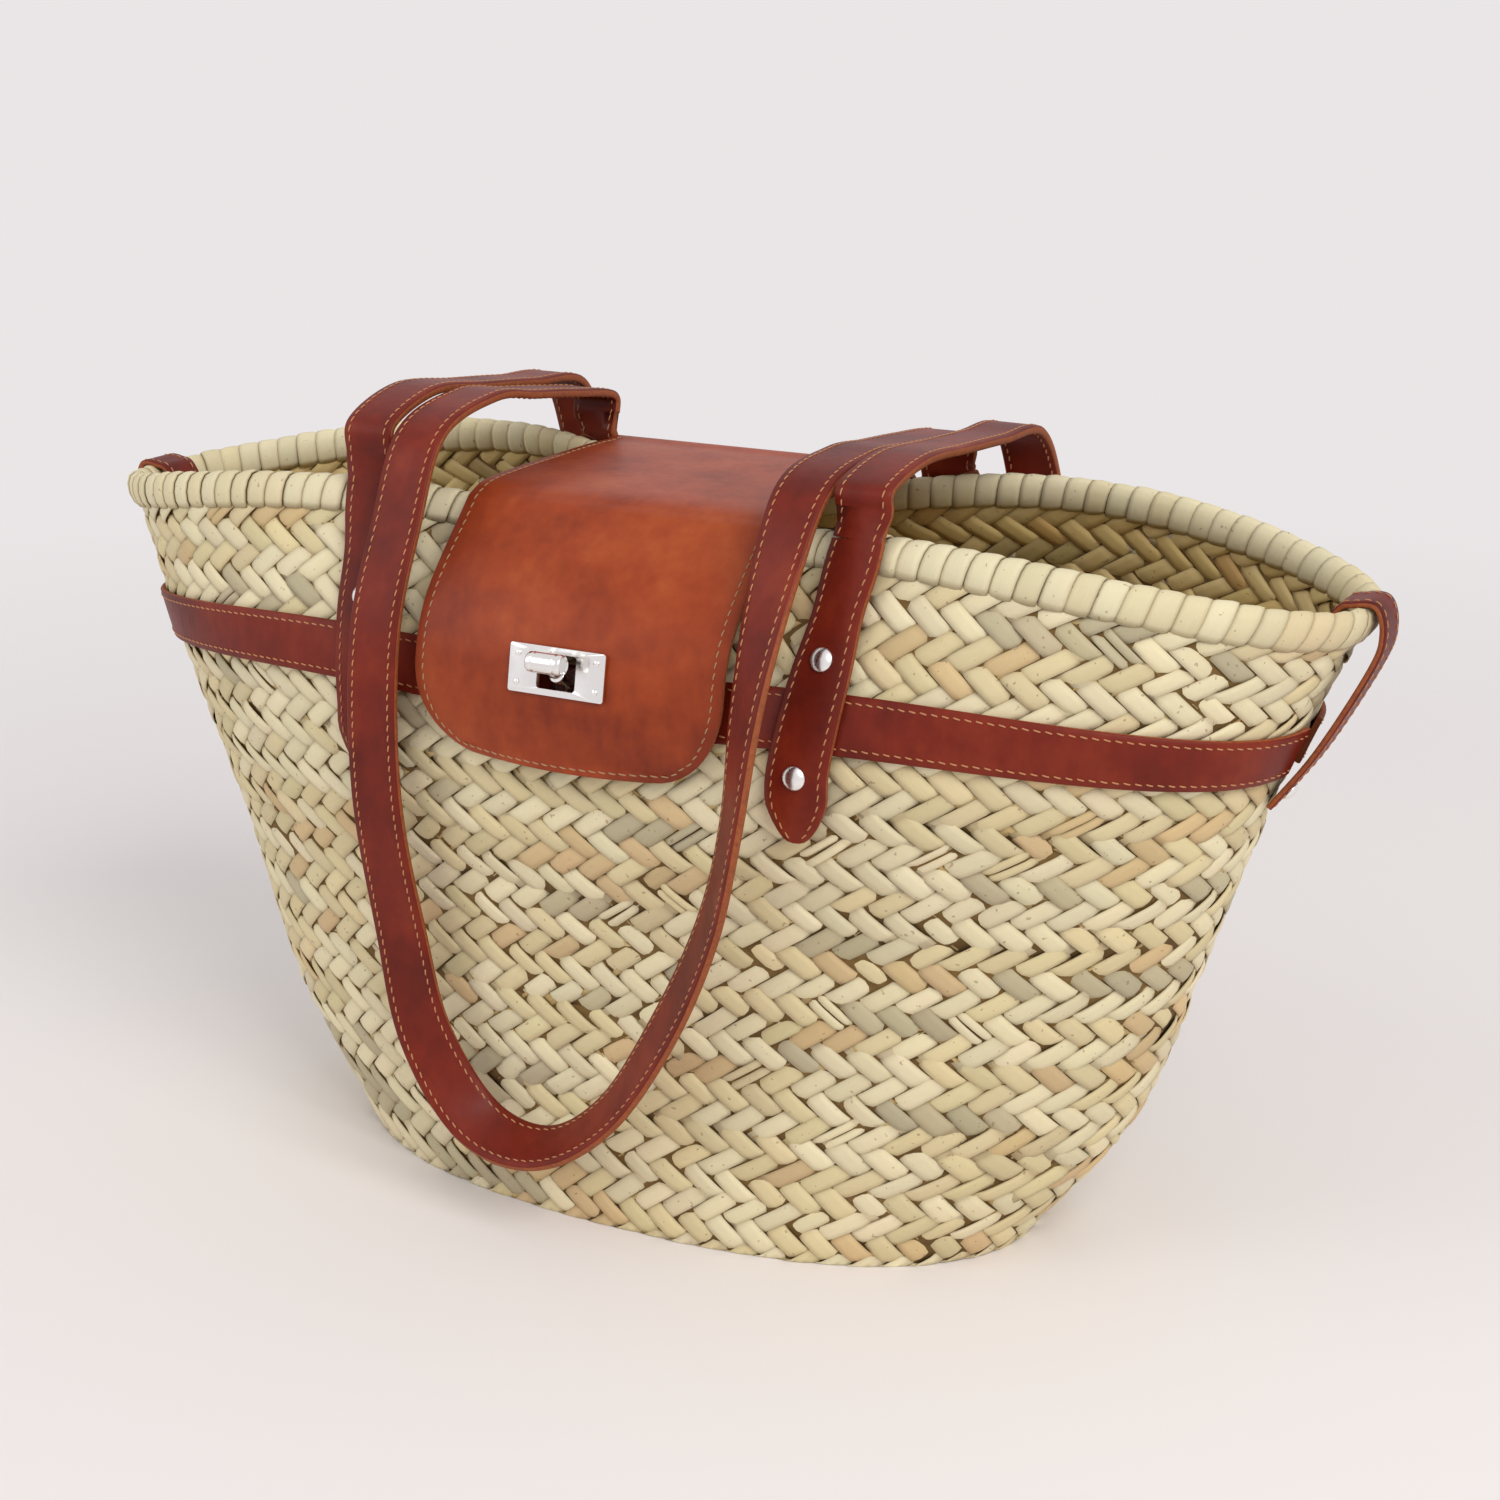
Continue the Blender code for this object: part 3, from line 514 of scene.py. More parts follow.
rowPitch = (shell["rimStart"] + 0.006) / plait["rows"]
courses = 6
for course in range(courses):
    low, high = shell["rimStart"] * course / courses, shell["rimStart"] * (course + 1) / courses
    heap = Heap()
    span = girth[int(40 * (low + high))]
    count = int(round(span / plait["pitch"]))
    for row in range(-1, plait["rows"]):
        centre = min(max((row + 0.5) * rowPitch, 0.0), shell["rimStart"] - 1e-6)
        if low <= centre < high:
            slant = 1 if row % 2 else -1
            leafRow(heap, onWall, count, row * rowPitch, rowPitch, slant, 1, 0.0, 0)
            leafRow(heap, onWall, count, row * rowPitch, rowPitch, -slant, -1, -shell["wall"], 1)
    # Dark core sheet between the outer and inner leaves: painted shade in the plait's gaps
    shares = np.arange(160) / 160
    rings = []
    spans = (low, (low + high) / 2, high)
    for level, depth in zip(spans + spans[::-1], np.repeat(plait["coreDepths"], 3)):
        point, normal = onWall(shares, level)
        rings.append(point - normal * depth)
    heap.add(np.stack(rings, 1), ringQuads(160, 6), 2)
    nodes = [name for name in frame["nodes"] if name.startswith(f"plait_course_{course + 1}")]
    heap.make(f"plaitCourse{course + 1}", wallLooks, "basket", nodes)
print("wall plaited")

# Floor of the basket: the same plait laid flat and cut to the oval
baseWeave = dict(length=0.164, depth=0.0855, rowPitch=0.0116, inset=0.985, under=0.0006, over=0.0046,
                 core=(0.0017, 0.0034), coreReach=(0.02, 0.97))


def onBase(z, up):
    def surface(u, v):
        x, y = (u - 0.5) * 2 * baseWeave["length"], v
        reach = (np.abs(x) / baseWeave["length"]) ** 2.3 + (np.abs(y) / baseWeave["depth"]) ** 2.3
        shrink = np.minimum(baseWeave["inset"] / np.maximum(reach, 1e-9) ** (1 / 2.3), 1.0)
        point = np.stack([x * shrink, y * shrink, np.full_like(x, z)], -1)
        return point, np.broadcast_to(np.array([0.0, 0.0, up]), point.shape)
    return surface


heap = Heap()
baseCount = int(2 * baseWeave["length"] / plait["pitch"])
baseRows = int(2 * baseWeave["depth"] / baseWeave["rowPitch"]) + 2
for row in range(baseRows):
    start = -baseWeave["depth"] + (row - 1) * baseWeave["rowPitch"]
    slant = 1 if row % 2 else -1
    for slot, face in enumerate((onBase(baseWeave["under"], -1.0), onBase(baseWeave["over"], 1.0))):
        leafRow(heap, face, baseCount, start, baseWeave["rowPitch"], slant, 1, 0.0, slot)
# Dark core sheet between the floor's two layers of leaves: painted shade in the gaps
shares = np.arange(96) / 96
edge, _ = onWall(shares, 0.0)
(near, far), (low, high) = baseWeave["coreReach"], baseWeave["core"]
corners = ((near, low), (far, low), (far, high), (near, high))
rings = [edge * (scale, scale, 0.0) + (0.0, 0.0, z) for scale, z in corners]
heap.add(np.stack(rings, 1), ringQuads(96, 4), 2)
heap.make("plaitBase", wallLooks, "basket", ["base_plait"])
print("base plaited")

# Rim: leaves overcast round a rolled core
rim = dict(pitch=0.0098, middle=0.974, halfThick=0.0051, halfTall=0.0088, lean=0.42, along=11, across=5,
           gap=-0.02, crown=0.00060, shingle=0.00034, thick=0.0005, swing=0.04, puff=0.00016, uneven=0.00012,
           sink=0.0003, coreDepth=0.0015, wrap=(-62, 242))


def rimPoint(share, turn, grow):
    point, normal = onWall(share, rim["middle"])
    up = unit(onWall(share, 0.999)[0] - onWall(share, shell["rimStart"])[0])
    centre = point - normal * shell["wall"] / 2
    thick, tall = rim["halfThick"] + grow, rim["halfTall"] + grow
    return centre + normal * (thick * np.cos(turn))[..., None] + up * (tall * np.sin(turn))[..., None]


heap = Heap()
wraps = int(round(girth[78] / rim["pitch"]))
turn = np.radians(np.linspace(*rim["wrap"], rim["along"]))
width = np.linspace(rim["gap"], 1 - rim["gap"], rim["across"])
tt, ww = np.meshgrid(turn, width, indexing="ij")
which = np.arange(wraps)[:, None, None]
swing = wobble(wraps) * rim["swing"]
share = (which + ww + (tt / math.pi - 0.5) * (rim["lean"] + swing)) / wraps
cross = np.linspace(-1, 1, rim["across"])
puff = wobble(wraps) * rim["puff"] - rim["crown"] * np.abs(cross) ** 4
puff = puff + cross * (rim["shingle"] + wobble(wraps) * rim["uneven"]) - rim["sink"]
turns = np.broadcast_to(tt, share.shape)
top, under = (rimPoint(share, turns, puff - drop) for drop in (0.0, rim["thick"]))
shift = np.floor(rng.random((wraps, 1, 2)) * 40)
tones = leafColours(wraps) * 0.5 + leafTones[0] * 0.5
along, across = (turns - turn[0]) / (turn[-1] - turn[0]), np.broadcast_to(ww, share.shape)
addLeaves(heap, top, under, along, across, shift, tones, 0)
# The rolled core takes the dark gap colour: painted shade between the wraps
shares = np.arange(200) / 200
core = [rimPoint(shares, a, -rim["coreDepth"]) for a in circle(12)]
heap.add(np.stack(core, 1), ringQuads(200, 12), 1)
heap.make("rimOvercast", [leafRim, gapShadeSheet], "basket", ["rim_binding_left", "rim_binding_right"])
print("rim bound")

# Leather: a rounded strap section swept along stations, with stitches set in its margins

leather = dict(thin=0.0024, strap=0.0036, round=0.0007, inset=0.0030, stitchPitch=0.0043, stitchLength=0.0031,
               stitchWide=0.00034, stitchLean=0.16, stitchLift=0.00005, stitchNear=0.002)


# Section points as shares of half the width and thickness, then the faces that are cut edges
def strapSection(half, deep):
    r = min(leather["round"], deep * 0.45)
    ease = r / half
    flat = np.linspace(-1 + ease, 1 - ease, 7)
    top = [(-1.0, 0.0), (-1.0, 1 - r / deep)] + [(k, 1.0) for k in flat] + [(1.0, 1 - r / deep), (1.0, 0.0)]
    bottom = [(1.0, -1 + r / deep)] + [(k, -1.0) for k in flat[::-1]] + [(-1.0, -1 + r / deep)]
    return np.array(top + bottom)


edgeFaces = (0, 9, 10, 11, 18, 19, 20)


def sweep(heap, rings):
    n, m = rings.shape[:2]
    heap.add(rings, tubeQuads(n, m), [int(j in edgeFaces) for j in range(m)] * (n - 1))
    for end in (rings[0], rings[-1]):
        heap.add(end, [(j, j + 1, m - 2 - j, m - 1 - j) for j in range(m // 2 - 1)], 1)


def stitchLine(heap, line, normals, slot):
    run = runAlong(line)
    count = int(run[-1] / leather["stitchPitch"])
    spots = (np.arange(count) + 0.5) * run[-1] / count

    def at(where, values):
        return np.stack([np.interp(where, run, values[:, k]) for k in range(3)], -1)

    centre = at(spots, line)
    near = leather["stitchNear"]
    forward = unit(at(np.minimum(spots + near, run[-1]), line) - at(np.maximum(spots - near, 0), line))
    out = unit(at(spots, normals))
    side = unit(np.cross(forward, out))
    forward = unit(forward + side * leather["stitchLean"])
    half, wide = leather["stitchLength"] / 2, leather["stitchWide"]
    rows = ((-1.0, 0.25, -0.8), (-0.72, 0.9, 0.0), (0.0, 1.0, 0.35), (0.72, 0.9, 0.0), (1.0, 0.25, -0.8))
    rings = []
    for along, fat, lift in rows:
        for a in circle(6):
            rings.append(centre + forward * half * along + side * wide * fat * math.cos(a)
                         + out * wide * (fat * math.sin(a) * 0.85 + lift))
    caps = [(k, k + j, k + j + 1, k + j + 2) for k in (0, 24) for j in (1, 3)]
    quads = np.vstack([tubeQuads(len(rows), 6), caps])
    heap.add(np.stack(rings, 1), np.arange(count)[:, None, None] * 30 + quads, slot)


# A strap along a path, in leather with cut edges and two rows of stitches on the faces asked for
def strap(name, node, path, normals, width, thick, faces=(1, -1), body=None):
    heap = Heap()
    run = unit(np.gradient(path, axis=0))
    out = unit(normals - run * np.sum(normals * run, -1, keepdims=True))
    side = np.cross(run, out)
    section = strapSection(width / 2, thick / 2)
    rings = (path[:, None] + side[:, None] * section[:, :1] * width / 2
             + out[:, None] * section[:, 1:] * thick / 2)
    sweep(heap, rings)
    for hand in (-1, 1):
        line = path + side * hand * (width / 2 - leather["inset"])
        for face in faces:
            stitchLine(heap, line + out * face * (thick / 2 + leather["stitchLift"]), out * face, 2)
    return heap.make(name, strapLooks, body, [node])


def smoothPath(points, steps):
    pts = np.asarray(points, float)
    pts = np.vstack([2 * pts[0] - pts[1], pts, 2 * pts[-1] - pts[-2]])
    t = (np.arange(steps) / steps)[:, None]
    out = []
    for i in range(1, len(pts) - 2):
        a, b, c, d = pts[i - 1:i + 3]
        bent, turned = 2 * a - 5 * b + 4 * c - d, 3 * b - a - 3 * c + d
        out.append(0.5 * (2 * b + (c - a) * t + bent * t**2 + turned * t**3))
    return np.vstack(out + [pts[-2:-1]])


# Belt round the wall, in two halves
belt = dict(level=0.772, width=0.024, gap=0.0005, span=(0.006, 0.494))
beltFace = belt["gap"] + leather["thin"]
section = strapSection(belt["width"] / 2, leather["thin"] / 2)
for first, label in ((0.5, "Front"), (0.0, "Rear")):
    shares = first + np.linspace(*belt["span"], 150)
    heap = Heap()
    levels = belt["level"] + section[:, 0] * belt["width"] / 2 / shell["height"]
    point, normal = onWall(shares[:, None], levels)
    lift = belt["gap"] + leather["thin"] / 2 * (1 + section[:, 1])
    sweep(heap, point + normal * lift[:, None])
    for hand in (-1, 1):
        level = belt["level"] + hand * (belt["width"] / 2 - leather["inset"]) / shell["height"]
        line, out = onWall(shares, level)
        stitchLine(heap, line + out * (beltFace + leather["stitchLift"]), out, 2)
    heap.make(f"belt{label}", strapLooks, "basket", [f"belt_{label.lower()}"])
print("belt made")

# Handles: riveted tabs, roots that bend over the rim, and the loops between them
handles = dict(width=0.0235, tabTip=0.625, taper=0.05, blunt=0.12, blade=0.96, tabX=0.101,
               rivets=(0.706, 0.844), liftLevel=0.86, neckLevel=0.90, neckSpan=0.05, waist=0.14,
               rootRise=0.010, rootClear=0.0012, tabTop=0.985, widen=0.93, rootBlend=(-0.008, 0.006),
               bendBlend=(-20, 18),
               rise=(0.023, 0.014), lean=0.0022, shoulder=0.034, reach=0.006, gap=0.0003, swell=0.0032,
               shares={-1: (0.60, 1.0, 0.84, 0.66, 0.42), 1: (0.42, 0.66, 0.84, 1.0, 0.58)})
loopStations = (
    (-1.00, 0.020, 0.300, -0.02, 0.00), (-1.00, 0.018, 0.255, 0.00, 0.00), (-0.99, 0.018, 0.190, 0.02, 0.02),
    (-0.96, 0.020, 0.125, 0.10, 0.10), (-0.85, 0.021, 0.080, 0.25, 0.30), (-0.56, 0.021, 0.046, 0.25, 0.75),
    (-0.18, 0.022, 0.042, 0.05, 0.90), (0.20, 0.024, 0.066, -0.25, 0.80), (0.54, 0.026, 0.112, -0.55, 0.45),
    (0.80, 0.027, 0.160, -0.74, 0.15), (0.96, 0.027, 0.205, -0.76, 0.05), (1.00, 0.026, 0.255, -0.58, 0.00),
    (1.00, 0.024, 0.300, -0.20, 0.00))
tabBase = beltFace + handles["gap"]
rootBase = handles["swell"] + handles["rootClear"]


def tabWidth(level):
    h = handles
    tip = np.clip((level - h["tabTip"]) / h["taper"], 0.0, 1.0)
    neck = np.exp(-(((level - h["neckLevel"]) / h["neckSpan"]) ** 2))
    return h["width"] * (h["blunt"] + h["blade"] * np.sqrt(tip)) * (1 - h["waist"] * neck)


def tabX(level, lane):
    first = handles["rivets"][0]
    lean = (level - first) / (1.0 - first)
    return handles["tabX"] + (lane - handles["tabX"]) * np.maximum(lean, 0.0)


def tabLift(level):
    near = np.maximum(0.0, (level - handles["liftLevel"]) / (1.0 - handles["liftLevel"]))
    return tabBase + (rootBase - tabBase) * near


def rootSpot(lane, side):
    rimSpot = wallPoint(lane, 1.0, side)
    return abs(rimSpot[1]) + rootBase + leather["strap"] / 2, rimSpot[2] + handles["rootRise"]


def handlePath(lane, side, steps):
    h = handles
    y, z = rootSpot(lane, side)
    across = (y, y - h["lean"], y - h["shoulder"], 0.0, h["shoulder"] - y, -y - h["reach"])

    def arch(x, rise):
        spots = np.array([(x, side * p, z + f * rise) for p, f in zip(across, (0.0,) + h["shares"][side])])
        before = np.vstack([spots[0] - (0, 0, h["rootRise"]), spots[:-1]])
        after = np.vstack([spots[1:], spots[-1:]])
        return spots, side * np.stack([0 * spots[:, 0], (after - before)[:, 2], (before - after)[:, 1]], -1)

    spots, facing = arch(-lane, h["rise"][0])
    places, facings = list(spots), list(facing)
    for share, off, height, nx, nz in loopStations:
        reach = math.sqrt(max(1.0 - nx**2 - nz**2, 0.05))
        wallY = wallPoint(share * lane, height / shell["height"], 1)[1] + off
        places.append((share * lane, -side * wallY, height))
        facings.append((nx, -side * reach, nz))
    spots, facing = arch(lane, h["rise"][1])
    places += list(spots[::-1])
    facings += list(facing[::-1])
    return smoothPath(places, steps), smoothPath(unit(np.array(facings, float)), steps), (len(spots) - 1) * steps


# A turned shape from rows of (place along the axis, radius), closed at both ends
def lathe(heap, start, axis, rows, sides, guide=(0.31, 0.52, 0.79)):
    u = unit(np.cross(axis, guide))
    v = np.cross(axis, u)
    rings = [start + axis * along + radius * (math.cos(a) * u + math.sin(a) * v)
             for along, radius in rows for a in circle(sides)]
    last = (len(rows) - 1) * sides
    caps = [(k, k + j, k + j + 1, k + j + 2) for k in (0, last) for j in range(1, sides - 2, 2)]
    heap.add(rings, np.vstack([tubeQuads(len(rows), sides), caps]))


# Heads as (radius, height)
rivets = dict(strap=(0.0048, 0.0026), end=(0.0040, 0.0024), plate=(0.0013, 0.0007), sit=0.0001, sides=20,
              dome=((0.05, 0.0), (1.0, 0.0), (1.0, 0.22), (0.96, 0.34), (0.86, 0.52), (0.66, 0.76), (0.38, 0.93),
                    (0.05, 1.0)))


def rivetHead(name, centre, axis, kind, body, node):
    radius, height = rivets[kind]
    heap = Heap()
    rows = [(height * h, radius * r) for r, h in rivets["dome"]]
    lathe(heap, centre, unit(axis), rows, rivets["sides"], (0.3, 0.5, 0.81))
    heap.make(name, [rivetNickel], body, [node])


hands = ((-1, "Left"), (1, "Right"))


def handle(label, lane, side):
    short, h, thick = label.lower(), handles, leather["strap"]
    node = short + "_handle"
    path, facing, bend = handlePath(lane, side, 10)
    for sign, hand in hands:
        levels = np.concatenate([h["tabTip"] + np.array([0.0, 0.002, 0.005, 0.010, 0.016, 0.024]),
                                 np.linspace(h["tabTip"] + 0.034, h["tabTop"], 30)])
        x = sign * tabX(levels, lane)
        top = np.clip((levels - h["widen"]) / (h["tabTop"] - h["widen"]), 0.0, 1.0)
        half = tabWidth(levels) / 2 * (1 - top) + h["width"] / 2 * top
        base = tabLift(levels)
        section = strapSection(h["width"] / 2, thick / 2)
        xs = x[:, None] + half[:, None] * section[:, 0]
        n = wallNormal(x, levels, side)
        lift = base[:, None] + thick / 2 * (1 + section[:, 1])
        rings = wallPoint(xs, np.repeat(levels[:, None], len(section), 1), side) + n[:, None] * lift[..., None]
        heap = Heap()
        sweep(heap, rings)
        trim = np.maximum(half - leather["inset"], 0.0004)
        keep, face = levels > h["tabTip"] + 0.004, base + thick + leather["stitchLift"]
        for edge in (-1, 1):
            line = wallPoint(x + edge * trim, levels, side) + n * face[:, None]
            stitchLine(heap, line[keep], n[keep], 2)
        heap.make(f"{short}Tab{hand}", strapLooks, "basket", [f"{node}_tab_{hand.lower()}"])
        for level, place in zip(h["rivets"], ("lower", "upper")):
            sit = tabBase + thick + rivets["sit"]
            seat, axis = offWall(sign * tabX(level, lane), level, side, sit)
            rivetHead(f"{short}Rivet{hand}{place.title()}", seat, axis, "strap", "basket",
                      f"{node}_{hand.lower()}_rivet_{place}")
        middle = bend // 2 + 4
        topLevel = np.linspace(h["tabTop"], 0.998, 3)
        lift = tabLift(topLevel) + thick / 2
        below, nBelow = offWall(sign * tabX(topLevel, lane), topLevel, side, lift)
        run = np.vstack([below, path[::-sign][:middle + 1]])
        out = np.vstack([nBelow, facing[::-sign][:middle + 1]])
        piece = strap(f"{short}Root{hand}", f"{node}_arch_{hand.lower()}", run, out, h["width"], thick)
        y, z = rootSpot(lane, side)
        side * y
        side * y
        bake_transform(piece)
    hung = slice(middle, -middle)
    piece = strap(f"{short}Loop", f"{node}_loop", path[hung], facing[hung], h["width"], thick)
    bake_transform(piece)


handle("Front", 0.1140, -1)
handle("Rear", 0.0885, 1)
print("handles hung")

# End straps over the rim; tail and down give a level and its distance beyond the clearance
endStrap = dict(width=0.020, clear=0.0034, foot=0.680, over=(0.003, 0.002), rivetInset=0.009, stand=0.0065,
                footLift=0.0018, tail=((0.86, 0.0), (0.92, 0.001), (0.98, 0.001)),
                down=((0.985, 0.001), (0.93, 0.004)))


def endPoint(sign, level, offset=0.0):
    point, normal = onWall(0.0 if sign > 0 else 0.5, level)
    return point + normal * offset


for sign, hand in hands:
    outside = handles["swell"] + endStrap["clear"]
    out, lift = xAxis * sign, np.array([0.0, 0.0, endStrap["clear"]])
    topPoint, (inward, outward) = endPoint(sign, 1.0), endStrap["over"]
    spots = [endPoint(sign, level, -shell["wall"] - outside - ease) for level, ease in endStrap["tail"]]
    spots += [topPoint - out * (shell["wall"] + inward) + lift, topPoint + out * outward + lift]
    spots += [endPoint(sign, level, outside + ease) for level, ease in endStrap["down"]]
    spots += [endPoint(sign, belt["level"]) + out * (beltFace + endStrap["stand"]),
              endPoint(sign, endStrap["foot"]) + out * endStrap["footLift"]]
    path = smoothPath(spots, 8)
    flow = np.gradient(path, axis=0)
    facing = np.stack([-flow[:, 2] * sign, 0 * flow[:, 0], flow[:, 0] * sign], -1)
    node = f"end_strap_{hand.lower()}"
    strap(f"endStrap{hand}", node, path, facing, endStrap["width"], leather["thin"], (1,), "basket")
    row = int(np.argmin(np.abs(np.linalg.norm(path - path[-1], axis=1) - endStrap["rivetInset"])))
    axis = unit(facing[row])
    seat = path[row] + axis * (leather["thin"] / 2 + rivets["sit"])
    rivetHead(f"endRivet{hand}", seat, axis, "end", "basket", f"end_strap_rivet_{hand.lower()}")
print("end straps made")

# Flap: one sheet from the rear wall over the mouth and down the front, with a window behind the lock
flap = dict(half=0.071, thick=0.0028, corner=0.036, ease=0.96, swell=0.0045, swellRun=0.03, drop=0.0290,
            rest=0.0006, eased=0.0006, plateGap=0.0003, bendFrom=(0.0, 0.012, 0.005),
            bendTo=(0.0, -0.010, -0.012),
            rise=0.030, slack=0.0090, tuck=0.001, crownLift=0.0004, crownDrop=0.002, hump=0.0025, foldOut=0.0085,
            tail=0.004, tailRise=0.028, tailLean=0.0015, crownInset=0.012, browInset=0.006, browRise=0.0016,
            lockZ=0.2515, slot=(0.0176, 0.0142), margin=0.0012, inset=0.0042, stitchStart=34, rivetRow=5)
rimEdge = wallPoint(flap["half"], 1.0, 1)
beltEdge = wallPoint(flap["half"], belt["level"], 1)
crown, foldY = rimEdge[2] + flap["crownLift"], rimEdge[1] + flap["foldOut"]


def clearOfWall(levels):
    return max(wallPoint(flap["half"] * u, level, 1)[1] for u in (0.0, 0.5, 1.0)
               for level in levels) + beltFace + flap["rest"]


restY = clearOfWall([belt["level"] - 0.04 * k for k in range(4)])
rearY = clearOfWall([belt["level"] + belt["width"] / 2 / shell["height"] * k for k in (-1, 0, 1)])
fold = np.array([0.0, -foldY, crown - flap["crownDrop"]])
tongue = smoothPath([fold, (0, flap["slack"] - restY, beltEdge[2] + flap["rise"]), (0, -restY, beltEdge[2]),
                     (0, flap["tuck"] - restY, beltEdge[2] - flap["drop"])], 24)
back = smoothPath([(0, rearY, beltEdge[2] - flap["tail"]),
                   (0, rearY - flap["tailLean"], beltEdge[2] + flap["tailRise"]),
                   (0, foldY, crown - flap["crownDrop"]),
                   (0, rimEdge[1] - flap["crownInset"], crown + flap["crownDrop"]),
                   (0, 0.0, crown + flap["hump"]), (0, flap["browInset"] - rimEdge[1], crown + flap["browRise"]),
                   tuple(fold)], 10)


def sheetFacing(path):
    flow = unit(np.gradient(path, axis=0))
    return np.stack([0 * flow[:, 0], flow[:, 2], -flow[:, 1]], -1)


tongueFacing = sheetFacing(tongue)
lockRow = int(np.argmin(np.abs(tongue[:, 2] - flap["lockZ"])))
lockOut = tongueFacing[lockRow]
lockUp = np.cross(lockOut, xAxis)
lockUp = lockUp * np.sign(lockUp[2])
lockFace = tongue[lockRow] + lockOut * (flap["swell"] + flap["thick"] + flap["plateGap"])
windowWide, windowTall = (size / 2 + flap["margin"] for size in flap["slot"])

# Rows of the whole sheet; two of the tongue's rows are moved onto the window's edges
sheet = [(p, n, flap["half"], 0.0) for p, n in zip(back[:-1], sheetFacing(back)[:-1])]
firstTongue = len(sheet)
heights = (tongue - tongue[lockRow]) @ lockUp
edgeRows = [int(np.argmin(np.abs(heights - k * windowTall))) for k in (1, -1)]
for k, row in zip((1, -1), edgeRows):
    tongue[row] = tongue[row] + unit(tongue[row - 1] - tongue[row + 1]) * (k * windowTall - heights[row])
end = tongue[-1]
for p, n in zip(tongue, tongueFacing):
    bite = max(1 - np.linalg.norm(end - p) / flap["corner"], 0.0)
    narrow = flap["corner"] * (1 - math.sqrt(max(1 - bite * bite, 0.0))) * flap["ease"]
    curl = flap["swell"] * min(np.linalg.norm(p - fold) / flap["swellRun"], 1.0)
    sheet.append((p, n, flap["half"] - narrow, curl))
sheetPath, sheetOut, sheetHalf, sheetCurl = (np.array(column) for column in zip(*sheet))
slotShare = windowWide / flap["half"]
columns = np.concatenate([np.linspace(-1, -slotShare, 12), np.linspace(-slotShare, slotShare, 5)[1:-1],
                          np.linspace(slotShare, 1, 12)])
grid = (sheetPath[:, None] + sheetOut[:, None] * ((1 - columns**2) * sheetCurl[:, None])[..., None]
        + xAxis * (columns * sheetHalf[:, None])[..., None])
rowsFlap, columnsFlap = grid.shape[:2]
windowRows = range(firstTongue + edgeRows[0], firstTongue + edgeRows[1])
windowColumns = range(11, 15)
faces = [quad for quad in gridQuads(rowsFlap, columnsFlap)
         if quad[0] // columnsFlap not in windowRows or quad[0] % columnsFlap not in windowColumns]
outerFace = (grid + sheetOut[:, None] * flap["thick"]).reshape(-1, 3)
flapSheet = meshObject("flap", outerFace, faces, (flapLeather, rawEdge, flapThread))
work = bmesh.new()
work.from_mesh(flapSheet.data)
bmesh.ops.delete(work, geom=[v for v in work.verts if not v.link_faces], context="VERTS")
bmesh.ops.recalc_face_normals(work, faces=work.faces)
lowest = min(work.faces, key=lambda f: f.calc_center_median().y)
if lowest.normal.y > 0:
    bmesh.ops.reverse_faces(work, faces=work.faces)
work.to_mesh(flapSheet.data)
work.free()
solid = flapSheet.modifiers.new("thickness", "SOLIDIFY")
solid.thickness, solid.offset, solid.material_offset_rim = flap["thick"], -1.0, 1
easedEdges(flapSheet, flap["eased"], 60, 40)
heap = Heap()
outline = []
inset = flap["inset"]
for i in range(firstTongue - flap["stitchStart"], rowsFlap):
    if np.linalg.norm(end - sheetPath[i]) < inset * 1.1 and i > firstTongue:
        break
    share = (sheetHalf[i] - inset * (1.0 if sheetHalf[i] > 0.06 else 1.25)) / sheetHalf[i]
    lift = sheetCurl[i] * (1 - share**2) + flap["thick"] + leather["stitchLift"]
    outline.append((sheetPath[i] + sheetOut[i] * lift, share * sheetHalf[i], sheetOut[i]))
left, right = ([(p + xAxis * hand * x, n) for p, x, n in outline] for hand in (-1, 1))
lastPoint, lastX, lastOut = outline[-1]
bottom = []
for k in np.linspace(-1, 1, 21)[1:-1]:
    bulge = sheetCurl[-1] * (lastX / sheetHalf[-1])**2 * (1 - k**2)
    bottom.append((lastPoint + xAxis * k * lastX + lastOut * bulge, lastOut))
around = left + bottom + right[::-1]
stitchLine(heap, np.array([p for p, _ in around]), np.array([n for _, n in around]), 0)
flapStitch = heap.make("flapStitch", [flapThread])
for piece, nodes in ((flapSheet, ["flap_bridge", "flap_tongue"]), (flapStitch, [])):
    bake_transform(piece)
    finished(piece, None, nodes)
for hand in ("left", "right"):
    low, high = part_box(f"flap_rivet_{hand}")
    axis = sheetOut[flap["rivetRow"]]
    seat = np.array((low + high) / 2) - axis * rivets["strap"][1] / 2
    rivetHead(f"flapRivet{hand.title()}", seat, axis, "strap", "basket", f"flap_rivet_{hand}")
print("flap made")

# Turn lock: plate with a slot, pins, base and toggle
lock = dict(plate=(0.044, 0.0195), thick=0.0012, round=0.0012, pinInset=0.004, tilt=math.radians(24), lift=0.0086,
            barrelRadius=0.0042, barrelLength=0.0158, postRadius=0.0024, eased=0.00025, slotRound=0.10)
lockTurn = Matrix(((*xAxis, 0.0), (*lockUp, 0.0), (*lockOut, 0.0), (*lockFace, 1.0))).transposed()


def roundedLoop(width, tall, radius, steps):
    out = []
    for cx, cy, quarter in ((1, 1, 0), (-1, 1, 1), (-1, -1, 2), (1, -1, 3)):
        for k in range(steps):
            a = math.pi / 2 * (quarter + k / (steps - 1))
            out.append((cx * (width / 2 - radius) + radius * math.cos(a),
                        cy * (tall / 2 - radius) + radius * math.sin(a)))
    return out


